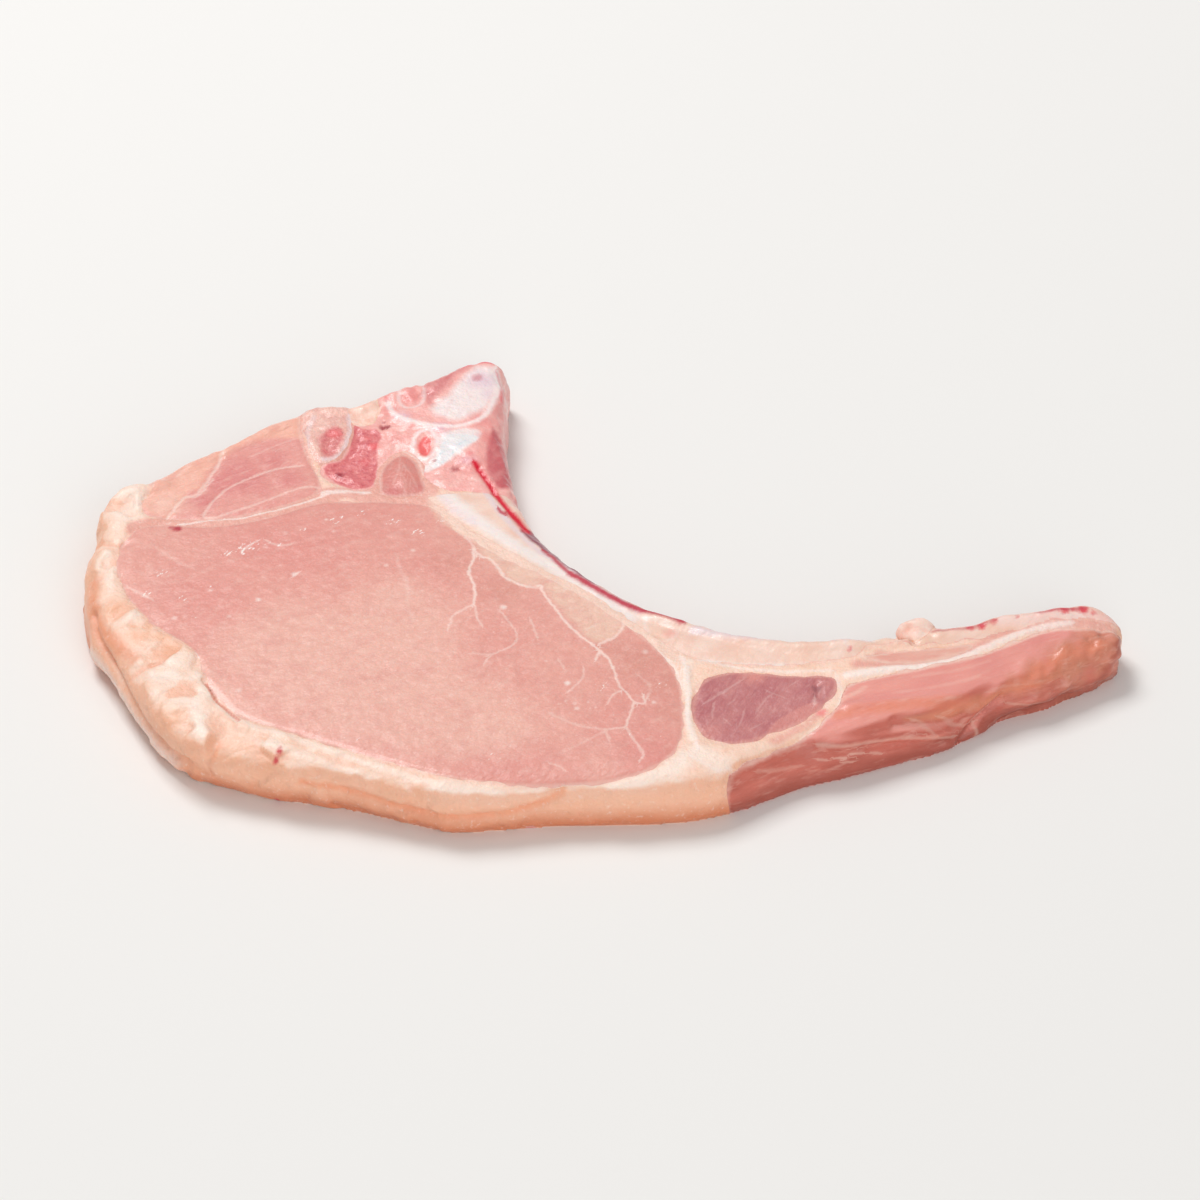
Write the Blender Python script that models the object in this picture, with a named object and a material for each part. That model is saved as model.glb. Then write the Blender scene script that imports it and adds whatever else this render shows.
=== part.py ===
"""Raw pork rib chop, lying on a cut face: loin, cap, rib, chine, flank tail and the back fat round them.

The chop is one slab. Every tissue runs through its whole thickness, so each one is drawn as a
region in plan, cut out of one triangulated sheet, and extruded from the flat underside up.
Sizes below are millimetres; the finished part is in metres, +X along the length, +Z up.
"""

import math

import bmesh
import bpy
import mathutils
import numpy

# Heights of the slab

MM = 0.001
SLAB_HEIGHT = 10.0
EYE_DOME = 0.7
EYE_CENTRE = (-36, -18)
EYE_REACH = (52, 42)
TAIL_START = 45
TAIL_LENGTH = 45
TAIL_DROP = 1.2
RIM_DROP = 2.6
RIM_ROUND = 4.5
SCRAP_UNDERSIDE = 4.5

# Walls: their levels from underside to top, and how far in from the rim a lean is felt

WALL_LEVELS = (0.0, 0.16, 0.5, 0.84, 1.0)
WALL_FADE = 8.0
HALF_GAP = 0.16

# Fineness of the faceting

CURVE_SAMPLES = 16
EDGE_STEP = 3.4
SHEET_STEP = 3.6
ROW_RATIO = math.sqrt(0.75)
POINT_CLEARANCE = 1.5
RIM_RING_DEPTHS = (1.3, 3.1)
MERGE_DISTANCE = 1e-5

# Outline of the slab at half height, anticlockwise from the left end of the back fat

SLAB_OUTLINE = (
    (-94.2, 4), (-94, -4), (-92.5, -12), (-89, -20), (-85.8, -28), (-82, -37),
    (-76, -45.3), (-68, -50.3), (-58, -53.5), (-47, -56), (-36, -59.8), (-27, -62.6),
    (-17, -61.8), (-6, -61), (6, -60.8), (15, -60.2), (21.5, -58), (28, -53.8),
    (35, -49.8), (44, -47.2), (53, -43.6), (61.5, -40.4), (66, -36.8), (72.5, -32.6),
    (80, -30.2), (86, -26.4), (91, -23.6), (94.6, -19.8), (93.3, -14.5), (89, -10.6),
    (82, -12.4), (72, -13.9), (62, -17), (58.2, -14.6), (54.8, -15.4), (51.5, -19.6),
    (38, -20.8), (26, -18.6), (14.5, -14), (5, -8.8), (-3, -1), (-9.5, 8),
    (-13.5, 19), (-15.5, 31), (-16.8, 43), (-16.2, 55), (-17.6, 62.6), (-23.5, 62.3),
    (-30, 57.5), (-38.5, 55), (-45.5, 50.8), (-51.5, 51.2), (-58, 47.5), (-67, 41.3),
    (-76, 35), (-81.5, 29), (-88.5, 25.5), (-92.2, 19), (-93, 11),
)

# Outlines of the tissues; those that reach the rim run on past it and are clipped by the slab

EYE_OUTLINE = (
    (-86.4, 12.4), (-88.3, 4), (-86, -5.5), (-80.6, -14.2), (-74, -21.5), (-70.6, -31.5),
    (-65, -40), (-55.5, -45.2), (-45, -50.2), (-34, -55.4), (-20, -58.8), (-5, -59),
    (6, -56.8), (12.4, -51), (14.2, -42), (13, -29), (8, -20), (-0.5, -11),
    (-7.5, -4), (-14.5, 1.8), (-21, 7.4), (-26.4, 13), (-31, 20.4), (-38.7, 22), (-46, 22),
    (-51.7, 21.8), (-61.2, 17.6), (-71, 15.4), (-82, 15.8),
)
UPPER_OUTLINE = (
    (-84.2, 21.5), (-82, 18.2), (-71, 17.4), (-61.2, 19.8), (-52.6, 24), (-51.4, 29),
    (-53.2, 34.5), (-54.8, 40.5), (-55.2, 47), (-54.6, 56), (-66, 50), (-80, 36), (-82, 27.5),
)
PROCESS_OUTLINE = (
    (-54.6, 44.9), (-53.9, 39.5), (-52.2, 34.8), (-49.8, 34.2), (-46.8, 37.4), (-45.5, 42),
    (-45.7, 48), (-47, 57), (-53.8, 57),
)
CHINE_OUTLINE = (
    (-44.9, 45), (-45.2, 40.6), (-47.6, 35.2), (-50.8, 33.4), (-50.4, 29.6), (-46.6, 26.8),
    (-42.6, 25.8), (-41, 29), (-40.6, 33), (-36, 37.2), (-32.2, 33.6), (-31.2, 28.4),
    (-27.6, 25), (-17.5, 24), (-6, 23), (-6, 72), (-34, 70), (-40.6, 58),
    (-40.2, 50), (-41.6, 45),
)
DISC_OUTLINE = (
    (-40.1, 28), (-39.6, 32.6), (-36, 36), (-33.2, 33), (-32.2, 28), (-31.6, 24.8),
    (-35.4, 23.8), (-39.8, 24.2),
)
CHINE_FAT_OUTLINE = (
    (-45.6, 46.2), (-42, 45.2), (-40.8, 50), (-41.4, 57), (-46.4, 57),
)
RIB_OUTLINE = (
    (-29.6, 23.6), (-28.6, 19.4), (-24, 13), (-17.6, 7), (-10.4, 0.6), (-3.6, -5.6),
    (3.6, -12.6), (11, -20.6), (17, -25.2), (27, -27), (38, -26.6), (45.4, -25), (48, -22.9),
    (53, -21.8), (57.2, -21.7), (66, -20.2), (78, -16.6), (88, -14.4), (102, -14),
    (100, 0), (62, -6), (60.3, -16), (56.9, -20.9), (53, -20.8), (51, -17), (48, -10),
    (20, -6), (2, 10), (-4, 23),
)
DARK_OUTLINE = (
    (16.6, -35), (18.6, -31.2), (24, -29), (33, -30), (41.2, -30.8), (41.8, -34),
    (37.6, -41), (31, -45.6), (24.5, -48.8), (19, -48), (15.9, -42),
)
RIB_MUSCLE_OUTLINE = (
    (47.6, -25), (53, -23.6), (60, -22.8), (66.6, -21.6), (66, -23.6), (57.6, -26.8), (50, -26.6),
)
FLANK_OUTLINE = (
    (43.6, -33.6), (50, -30.6), (60.6, -27.4), (68, -24.6), (75.9, -20.2), (82, -17.6),
    (90, -17.2), (104, -17), (100, -34), (70, -60), (22, -70), (21.4, -57.4),
    (28, -51.2), (36, -46.2), (41.2, -39.8),
)
SCRAP_OUTLINE = (
    (53.4, -18.8), (53.4, -10), (60.4, -10), (59.5, -17.6), (56.9, -20.1),
)

# Rises and hollows of the upper face: x, y, reach, height

RELIEF = (
    (-27, 53, 13, 1.5), (-44, 33, 6, -0.9), (-50, 41, 5, 0.8), (-24, 37, 5, 0.9),
    (-78, -31, 6, 0.9), (-88, 8, 7, 0.6), (28, -39, 11, -0.6), (0, -8, 9, 0.5),
    (84, -14, 8, 0.8), (57, -17, 4, 1.5),
)

# How far the rim leans out at the underside and at the top: x, y, bottom, top

RIM_LEAN = (
    (-94, 0, 0.2, -0.4), (-85, -30, -3.6, 0), (-74, -46, -3.2, 0.2), (-56, -53, -2.2, -0.2),
    (-24, -62, -1.6, -0.8), (12, -60, -1.2, -0.8), (32, -51, 0.6, -1.2), (60, -42, 0.3, -1.4),
    (85, -27, -0.8, -0.6),
    (94, -18, -1.4, 0.2), (40, -21, -0.8, -0.2), (-3, -1, -0.8, -0.2), (-16, 45, 0.4, -0.3),
    (-30, 58, 0.3, -0.4), (-66, 42, -0.6, -0.6), (-90, 24, -0.4, -0.6),
)

# One entry a tissue: outline, underside height, colour, roughness

TISSUES = {
    "eye_muscle": (EYE_OUTLINE, 0.0, (0.84, 0.46, 0.39), 0.38),
    "upper_muscle": (UPPER_OUTLINE, 0.0, (0.74, 0.36, 0.31), 0.38),
    "process_bone": (PROCESS_OUTLINE, 0.0, (0.73, 0.50, 0.45), 0.45),
    "chine_bone": (CHINE_OUTLINE, 0.0, (0.86, 0.66, 0.66), 0.35),
    "joint_disc": (DISC_OUTLINE, 0.0, (0.66, 0.40, 0.38), 0.4),
    "chine_fat": (CHINE_FAT_OUTLINE, 0.0, (0.93, 0.74, 0.62), 0.45),
    "rib_bone": (RIB_OUTLINE, 0.0, (0.84, 0.68, 0.60), 0.35),
    "dark_muscle": (DARK_OUTLINE, 0.0, (0.50, 0.19, 0.19), 0.38),
    "rib_muscle": (RIB_MUSCLE_OUTLINE, 0.0, (0.66, 0.38, 0.34), 0.4),
    "flank_muscle": (FLANK_OUTLINE, 0.0, (0.78, 0.30, 0.22), 0.38),
    "fat_scrap": (SCRAP_OUTLINE, SCRAP_UNDERSIDE, (0.95, 0.72, 0.58), 0.45),
}
FAT_COLOUR = (0.96, 0.78, 0.66)
FAT_ROUGHNESS = 0.42


def smooth_loop(points, step):
    """Closed curve through the points, as evenly spaced positions about one step apart."""
    base = numpy.array(points, float)
    before, after, beyond = (numpy.roll(base, shift, axis=0) for shift in (1, -1, -2))
    fine = []
    for t in numpy.linspace(0, 1, CURVE_SAMPLES, endpoint=False):
        fine.append(0.5 * (2 * base + (after - before) * t
                           + (2 * before - 5 * base + 4 * after - beyond) * t ** 2
                           + (3 * base - before - 3 * after + beyond) * t ** 3))
    fine = numpy.stack(fine, axis=1).reshape(-1, 2)
    closed = numpy.vstack((fine, fine[:1]))
    lengths = numpy.linalg.norm(numpy.diff(closed, axis=0), axis=1)
    travelled = numpy.concatenate(([0], numpy.cumsum(lengths)))
    count = max(8, round(travelled[-1] / step))
    marks = numpy.linspace(0, travelled[-1], count, endpoint=False)
    return numpy.stack([numpy.interp(marks, travelled, closed[:, axis]) for axis in (0, 1)], axis=1)


def outward_normals(loop):
    """Unit normals of an anticlockwise loop, pointing away from its inside."""
    along = numpy.roll(loop, -1, axis=0) - numpy.roll(loop, 1, axis=0)
    along /= numpy.linalg.norm(along, axis=1)[:, None]
    return numpy.stack((along[:, 1], -along[:, 0]), axis=1)


def anticlockwise(loop):
    """The same loop, turned round if it runs clockwise."""
    x, y = loop[:, 0], loop[:, 1]
    area = numpy.dot(x, numpy.roll(y, -1)) - numpy.dot(y, numpy.roll(x, -1))
    return loop if area > 0 else loop[::-1]


def grown(loop, distance):
    """The loop moved along its normals; a negative distance shrinks it."""
    return loop + outward_normals(loop) * distance


RIM = anticlockwise(smooth_loop(SLAB_OUTLINE, EDGE_STEP))
RIM_NORMALS = outward_normals(RIM)


def rim_distance(x, y):
    """Distance to the slab's outline and the outward direction at the nearest place on it."""
    offsets = numpy.hypot(RIM[:, 0] - x, RIM[:, 1] - y)
    nearest = int(offsets.argmin())
    inward = numpy.dot(RIM[nearest] - (x, y), RIM_NORMALS[nearest])
    return max(0.0, min(offsets[nearest], abs(inward))), RIM_NORMALS[nearest]


def top_height(x, y):
    """Height of the upper face: a dome over the eye, a thinner tail, the relief and a rounded rim."""
    reach = ((x - EYE_CENTRE[0]) / EYE_REACH[0]) ** 2 + ((y - EYE_CENTRE[1]) / EYE_REACH[1]) ** 2
    height = SLAB_HEIGHT + EYE_DOME * max(0.0, 1 - reach)
    height -= TAIL_DROP * max(0.0, min(1.0, (x - TAIL_START) / TAIL_LENGTH))
    for centre_x, centre_y, size, rise in RELIEF:
        height += rise * math.exp(-((x - centre_x) ** 2 + (y - centre_y) ** 2) / size ** 2)
    inset = max(0.0, 1 - rim_distance(x, y)[0] / RIM_ROUND)
    return height - RIM_DROP * (1 - math.sqrt(1 - inset ** 2))


def rim_lean(x, y):
    """Lean of the rim at the underside and at the top, blended from the nearest named places."""
    weights = [1 / (1 + (x - place[0]) ** 2 + (y - place[1]) ** 2) ** 1.5 for place in RIM_LEAN]
    total = sum(weights)
    bottom = sum(weight * place[2] for weight, place in zip(weights, RIM_LEAN)) / total
    top = sum(weight * place[3] for weight, place in zip(weights, RIM_LEAN)) / total
    return bottom, top


def place_point(x, y, level, underside):
    """Sheet position and level 0 to 1 turned into a point of the leaning, domed slab."""
    distance, normal = rim_distance(x, y)
    bottom, top = rim_lean(x, y)
    lean = bottom * (1 - level) ** 2 + top * level ** 2
    lean *= max(0.0, 1 - distance / WALL_FADE) ** 1.5
    height = underside + level * (top_height(x, y) - underside)
    return x + normal[0] * lean, y + normal[1] * lean, height


def clear_of(points, loops, clearance):
    """Only the points that keep their distance from every loop."""
    edges = numpy.vstack(loops)
    return [point for point in points
            if numpy.hypot(edges[:, 0] - point[0], edges[:, 1] - point[1]).min() > clearance]


def sheet_points():
    """Free points of the sheet: two rings just inside the rim, then a staggered grid."""
    points = []
    for depth in RIM_RING_DEPTHS:
        points.extend(grown(RIM, -depth))
    low, high = RIM.min(axis=0), RIM.max(axis=0)
    row_step = SHEET_STEP * ROW_RATIO
    rows = int((high[1] - low[1]) / row_step) + 1
    columns = int((high[0] - low[0]) / SHEET_STEP) + 1
    ring_depth = RIM_RING_DEPTHS[-1] + POINT_CLEARANCE
    for row in range(rows):
        for column in range(columns):
            x = low[0] + (column + 0.5 * (row % 2)) * SHEET_STEP
            y = low[1] + row * row_step
            if numpy.hypot(RIM[:, 0] - x, RIM[:, 1] - y).min() > ring_depth:
                points.append((x, y))
    return points


def cut_sheet(loops, free_points):
    """Triangulated sheet with every loop drawn into it; each triangle knows the loops it lies in."""
    positions = []
    faces = []
    for loop in loops:
        faces.append(list(range(len(positions), len(positions) + len(loop))))
        positions.extend(loop)
    positions.extend(free_points)
    vectors = [mathutils.Vector((float(x), float(y))) for x, y in positions]
    result = mathutils.geometry.delaunay_2d_cdt(vectors, [], faces, 0, MERGE_DISTANCE, True)
    return result[0], result[2], result[5]


def edges_of(triangle):
    """The three edges of a triangle, each as its two corners in order."""
    return [(triangle[place - 1], triangle[place]) for place in range(3)]


def largest_patch(triangles):
    """The biggest group of triangles that hang together by their edges."""
    owner = {edge: place for place, triangle in enumerate(triangles) for edge in edges_of(triangle)}
    best = []
    seen = set()
    for start in range(len(triangles)):
        patch = []
        waiting = [start]
        while waiting:
            place = waiting.pop()
            if place in seen:
                continue
            seen.add(place)
            patch.append(place)
            waiting.extend(owner[b, a] for a, b in edges_of(triangles[place]) if (b, a) in owner)
        if len(patch) > len(best):
            best = patch
    return [triangles[place] for place in sorted(best)]


def solid_from(name, positions, triangles, underside):
    """Closed body: the chosen triangles extruded level by level, then shaped to the leaning slab."""
    form = bmesh.new()
    corners = {corner: form.verts.new((*positions[corner], 0))
               for corner in sorted({corner for triangle in triangles for corner in triangle})}
    for triangle in triangles:
        form.faces.new([corners[corner] for corner in triangle])
    region = list(form.faces)
    inner_layers = []
    for low, high in zip(WALL_LEVELS, WALL_LEVELS[1:]):
        raised = bmesh.ops.extrude_face_region(form, geom=region, use_keep_orig=True)["geom"]
        region = [item for item in raised if isinstance(item, bmesh.types.BMFace)]
        lifted = [item for item in raised if isinstance(item, bmesh.types.BMVert)]
        bmesh.ops.translate(form, verts=lifted, vec=(0, 0, high - low))
        inner_layers.extend(region)
    inner_layers = inner_layers[:-len(region)]
    bmesh.ops.delete(form, geom=inner_layers, context="FACES")
    for vertex in form.verts:
        vertex.co = mathutils.Vector(place_point(*vertex.co, underside)) * MM
    bmesh.ops.recalc_face_normals(form, faces=form.faces)
    mesh = bpy.data.meshes.new(name)
    form.to_mesh(mesh)
    form.free()
    return mesh


def add_node(name, mesh, colour, roughness):
    """One named object with its own material."""
    material = bpy.data.materials.new(name)
    material.use_nodes = True
    shader = material.node_tree.nodes["Principled BSDF"]
    shader.inputs["Base Color"].default_value = (*colour, 1)
    shader.inputs["Roughness"].default_value = roughness
    shader.inputs["Metallic"].default_value = 0.0
    mesh.materials.append(material)
    node = bpy.data.objects.new(name, mesh)
    bpy.context.scene.collection.objects.link(node)
    return node


def build():
    """Clears the scene, cuts the sheet, raises every tissue and centres the part on its footprint."""
    for old in list(bpy.data.objects):
        bpy.data.objects.remove(old)
    names = list(TISSUES)
    outlines = [anticlockwise(smooth_loop(TISSUES[name][0], EDGE_STEP)) for name in names]
    inner = [grown(loop, -HALF_GAP) for loop in outlines]
    outer = [grown(loop, HALF_GAP) for loop in outlines]
    loops = [RIM] + inner + outer
    positions, triangles, owners = cut_sheet(loops, clear_of(sheet_points(), inner, POINT_CLEARANCE))
    positions = [tuple(position) for position in positions]
    nodes = []
    first_outer = 1 + len(inner)
    for place, name in enumerate(names):
        taken = set(range(first_outer, first_outer + place))
        chosen = [list(triangle) for triangle, owner in zip(triangles, owners)
                  if 0 in owner and 1 + place in owner and not taken.intersection(owner)]
        underside, colour, roughness = TISSUES[name][1:]
        mesh = solid_from(name, positions, largest_patch(chosen), underside)
        nodes.append(add_node(name, mesh, colour, roughness))
    chosen = [list(triangle) for triangle, owner in zip(triangles, owners)
              if 0 in owner and max(owner) < first_outer]
    mesh = solid_from("fat", positions, largest_patch(chosen), 0.0)
    nodes.append(add_node("fat", mesh, FAT_COLOUR, FAT_ROUGHNESS))
    corners = numpy.array([vertex.co[:] for node in nodes for vertex in node.data.vertices])
    middle = (corners.min(axis=0) + corners.max(axis=0)) / 2
    for node in nodes:
        node.data.transform(mathutils.Matrix.Translation((-middle[0], -middle[1], 0)))


build()
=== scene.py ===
"""Raw pork rib chop: the skin, colours and wet finish of the real meat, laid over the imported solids."""

import math

import bmesh
import bpy
import mathutils
import numpy
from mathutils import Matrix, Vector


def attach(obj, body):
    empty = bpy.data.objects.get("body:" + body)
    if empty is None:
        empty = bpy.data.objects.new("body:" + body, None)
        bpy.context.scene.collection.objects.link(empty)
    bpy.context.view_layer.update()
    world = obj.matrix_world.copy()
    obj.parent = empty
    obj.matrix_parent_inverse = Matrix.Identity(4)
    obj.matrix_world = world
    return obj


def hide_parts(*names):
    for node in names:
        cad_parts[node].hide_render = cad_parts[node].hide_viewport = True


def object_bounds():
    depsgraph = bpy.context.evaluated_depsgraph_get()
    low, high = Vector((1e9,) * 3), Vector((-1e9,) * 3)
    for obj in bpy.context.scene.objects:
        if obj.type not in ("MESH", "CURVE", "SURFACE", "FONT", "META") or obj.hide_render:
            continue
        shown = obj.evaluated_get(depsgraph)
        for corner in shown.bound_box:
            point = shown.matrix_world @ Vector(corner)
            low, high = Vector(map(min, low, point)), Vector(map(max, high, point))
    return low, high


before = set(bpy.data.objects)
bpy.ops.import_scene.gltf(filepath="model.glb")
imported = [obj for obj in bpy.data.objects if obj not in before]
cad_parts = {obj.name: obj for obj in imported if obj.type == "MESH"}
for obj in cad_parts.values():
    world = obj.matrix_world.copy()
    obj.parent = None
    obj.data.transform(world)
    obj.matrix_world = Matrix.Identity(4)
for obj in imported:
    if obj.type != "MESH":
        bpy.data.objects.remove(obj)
cad_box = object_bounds()

# Whole slab
# A rib chop is one slice through the loin: meat, fat and bone, knifed and sawn across in one cut.
# Its skin is made in one go over all the solids, so that the tissues meet without a step, and each
# section below cuts its tissue out of it.

MM = 0.001
MEASURED_FROM = numpy.array((0.13, 0.71))
SEAM_FILL = 0.22
SKIN_GRAIN = 0.45
SMOOTHING_ROUNDS = 30
FLOOR_SNAP = 0.3


def evaluated_mesh(thing):
    """The mesh of an object with its modifiers carried out."""
    seen = thing.evaluated_get(bpy.context.evaluated_depsgraph_get())
    return bpy.data.meshes.new_from_object(seen)


def new_object(name, mesh):
    """An object at the origin that holds the mesh."""
    made = bpy.data.objects.new(name, mesh)
    bpy.context.scene.collection.objects.link(made)
    return made


def slab_skin():
    """One closed skin round all the solids, with the narrow gaps between them filled."""
    joined = bmesh.new()
    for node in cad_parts.values():
        solid = bmesh.new()
        solid.from_mesh(node.data)
        bmesh.ops.remove_doubles(solid, verts=solid.verts, dist=0.001 * MM)
        solid.normal_update()
        for vertex in solid.verts:
            vertex.co += vertex.normal * SEAM_FILL * MM
        grown = bpy.data.meshes.new("grown")
        solid.to_mesh(grown)
        joined.from_mesh(grown)
        solid.free()
    mesh = bpy.data.meshes.new("slab")
    joined.to_mesh(mesh)
    joined.free()
    made = new_object("slab", mesh)
    grain = made.modifiers.new("grain", "REMESH")
    grain.mode = "VOXEL"
    grain.voxel_size = SKIN_GRAIN * MM
    even = bmesh.new()
    even.from_mesh(evaluated_mesh(made))
    for _ in range(SMOOTHING_ROUNDS):
        bmesh.ops.smooth_vert(even, verts=even.verts, factor=0.5, use_axis_x=True, use_axis_y=True,
                              use_axis_z=True)
    for vertex in even.verts:
        if vertex.co.z < FLOOR_SNAP * MM:
            vertex.co.z = 0
    made.modifiers.clear()
    even.to_mesh(mesh)
    even.free()
    return made


def plan_points(mesh):
    """Every vertex as x, y, z in millimetres, in the frame that the outlines are measured in."""
    places = numpy.empty(len(mesh.vertices) * 3)
    mesh.vertices.foreach_get("co", places)
    places = places.reshape(-1, 3) / MM
    places[:, :2] += MEASURED_FROM
    return places


def facings(mesh):
    """Every vertex's own direction."""
    directions = numpy.empty(len(mesh.vertices) * 3)
    mesh.vertex_normals.foreach_get("vector", directions)
    return directions.reshape(-1, 3)


def smooth_path(points, closed=False, step=1.0):
    """A curve through the points, as positions about one step apart."""
    knots = numpy.array(points, float)
    if not closed:
        knots = numpy.vstack((2 * knots[0] - knots[1], knots, 2 * knots[-1] - knots[-2]))
    before, after, beyond = (numpy.roll(knots, turn, axis=0) for turn in (1, -1, -2))
    spans = slice(None) if closed else slice(1, len(knots) - 2)
    pieces = []
    for t in numpy.linspace(0, 1, 12, endpoint=False):
        pieces.append((0.5 * (2 * knots + (after - before) * t
                              + (2 * before - 5 * knots + 4 * after - beyond) * t ** 2
                              + (3 * knots - before - 3 * after + beyond) * t ** 3))[spans])
    fine = numpy.stack(pieces, axis=1).reshape(-1, 2)
    fine = numpy.vstack((fine, fine[:1] if closed else knots[-2:-1]))
    lengths = numpy.linalg.norm(numpy.diff(fine, axis=0), axis=1)
    travelled = numpy.concatenate(([0], numpy.cumsum(lengths)))
    marks = numpy.linspace(0, travelled[-1], max(3, round(travelled[-1] / step)) + 1)
    curve = numpy.stack([numpy.interp(marks, travelled, fine[:, axis]) for axis in (0, 1)], axis=1)
    return curve[:-1] if closed else curve


def path_offset(places, path, reach=9.0):
    """Distance in millimetres to a path seen from above, up to a reach, negative on its right side."""
    low, high = path.min(axis=0) - reach, path.max(axis=0) + reach
    near = numpy.flatnonzero(((places[:, :2] > low) & (places[:, :2] < high)).all(axis=1))
    close = places[near, :2]
    nearest = numpy.full(len(near), reach ** 2)
    side = numpy.ones(len(near))
    for start, end in zip(path[:-1], path[1:]):
        along = end - start
        offset = close - start
        share = numpy.clip(offset @ along / max(along @ along, 1e-9), 0, 1)
        gap = offset - share[:, None] * along
        square = numpy.einsum("ij,ij->i", gap, gap)
        closer = square < nearest
        nearest = numpy.where(closer, square, nearest)
        turn = along[0] * offset[:, 1] - along[1] * offset[:, 0]
        side = numpy.where(closer, numpy.where(turn < 0, -1, 1), side)
    distance = numpy.full(len(places), reach)
    distance[near] = numpy.sqrt(nearest) * side
    return distance


def depth_inside(places, outline):
    """Distance to a closed outline, positive inside it and negative outside."""
    x, y = places[:, 0], places[:, 1]
    inside = numpy.zeros(len(places), bool)
    for start, end in zip(outline, numpy.roll(outline, -1, axis=0)):
        crosses = (start[1] > y) != (end[1] > y)
        reach = (end[0] - start[0]) * (y - start[1]) / (end[1] - start[1] + 1e-12) + start[0]
        inside ^= crosses & (x < reach)
    distance = numpy.abs(path_offset(places, numpy.vstack((outline, outline[:1]))))
    return numpy.where(inside, distance, -distance)


def fade(value, start, end):
    """Smooth rise from 0 at start to 1 at end."""
    share = numpy.clip((value - start) / (end - start), 0, 1)
    return share * share * (3 - 2 * share)


def strokes(places, rows):
    """The strongest of some soft lines, each given as its strength, half width and points."""
    strongest = numpy.zeros(len(places))
    for strength, half_width, points in rows:
        line = numpy.exp(-(path_offset(places, smooth_path(points)) / half_width) ** 2)
        strongest = numpy.maximum(strongest, strength * line)
    return strongest


def patches(places, rows):
    """The strongest of some areas, each given as its strength, the softness of its edge, its points."""
    strongest = numpy.zeros(len(places))
    for strength, softness, points in rows:
        depth = depth_inside(places, smooth_path(points, closed=True))
        strongest = numpy.maximum(strongest, strength * fade(depth, -softness, softness))
    return strongest


def spots(places, rows):
    """The strongest of some soft round spots, each given as its x, y, radius and strength."""
    strongest = numpy.zeros(len(places))
    for x, y, radius, strength in rows:
        square = (places[:, 0] - x) ** 2 + (places[:, 1] - y) ** 2
        strongest = numpy.maximum(strongest, strength * numpy.exp(-square / radius ** 2))
    return strongest


def lumps(places, size, turn=0.0, stretch=1.0):
    """Smooth noise from -1 to 1 with lumps of one size in millimetres, drawn out along a heading."""
    cosine, sine = math.cos(turn), math.sin(turn)
    along = (places[:, 0] * cosine + places[:, 1] * sine) / (size * stretch)
    across = (places[:, 1] * cosine - places[:, 0] * sine) / size
    up = places[:, 2] / size
    return numpy.array([mathutils.noise.noise(place) for place in zip(along, across, up)])


CRAG_SIZE = 5.0
CRAG_BEND = 1.6
CRAG_BEND_SIZE = 3.2
CRAG_BEND_SHIFTS = (0, 31, 57)
CRAG_HEIGHT = 0.85
CRAG_BASE = 0.4
CRAG_EDGE = (-0.06, 0.2)
CRAGGED = (
    (-87, 22, 6, 1), (-89, 4, 6, 0.9), (-84, -12, 6, 0.9), (-78, -24, 6, 1), (-75, -34, 7, 1),
    (-71, -44, 6, 1), (-60, -49, 6, 0.8), (-48, -54, 6, 0.7), (-34, -60, 7, 0.5), (-16, -62, 8, 0.4),
    (56.6, -14, 3.4, 1),
)


def crags(places):
    """How far each place stands on a torn plate of fat: flat tops with steep, wandering edges."""
    bend = numpy.stack([lumps(places + shift, CRAG_BEND_SIZE) for shift in CRAG_BEND_SHIFTS], axis=1)
    return fade(lumps(places + CRAG_BEND * bend, CRAG_SIZE), *CRAG_EDGE)


# Tissue borders: outlines in millimetres seen from above; those at the rim run on past it

EYE_OUTLINE = smooth_path((
    (-86.4, 12.4), (-88.3, 4), (-86, -5.5), (-80.6, -14.2), (-74, -21.5), (-70.6, -31.5), (-65, -40),
    (-55.5, -45.2), (-45, -50.2), (-34, -55.4), (-20, -58.8), (-5, -59), (6, -56.8), (12.4, -51),
    (14.2, -42), (13, -29), (8, -20), (-0.5, -11), (-7.5, -4), (-14.5, 1.8), (-21, 7.4), (-26.4, 13),
    (-31, 20.4), (-38.7, 22), (-46, 22), (-51.7, 21.8), (-61.2, 17.6), (-71, 15.4), (-82, 15.8),
), closed=True)
UPPER_OUTLINE = smooth_path((
    (-84.2, 21.5), (-82, 18.2), (-71, 17.4), (-61.2, 19.8), (-52.6, 24), (-51.4, 29), (-53.2, 34.5),
    (-54.8, 40.5), (-55.2, 47), (-54.6, 56), (-66, 50), (-80, 36), (-82, 27.5),
), closed=True)
PROCESS_OUTLINE = smooth_path((
    (-54.6, 44.9), (-53.9, 39.5), (-52.2, 34.8), (-49.8, 34.2), (-46.8, 37.4), (-45.5, 42), (-45.7, 48),
    (-47, 57), (-53.8, 57),
), closed=True)
CHINE_OUTLINE = smooth_path((
    (-44.9, 45), (-45.2, 40.6), (-47.6, 35.2), (-50.8, 33.4), (-50.4, 29.6), (-46.6, 26.8),
    (-42.6, 25.8), (-41, 29), (-40.6, 33), (-36, 37.2), (-32.2, 33.6), (-31.2, 28.4), (-27.6, 25),
    (-17.5, 24), (-6, 23), (-6, 72), (-34, 70), (-40.6, 58), (-40.2, 50), (-41.6, 45),
), closed=True)
DISC_OUTLINE = smooth_path((
    (-40.1, 28), (-39.6, 32.6), (-36, 36), (-33.2, 33), (-32.2, 28), (-31.6, 24.8), (-35.4, 23.8),
    (-39.8, 24.2),
), closed=True)
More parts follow.
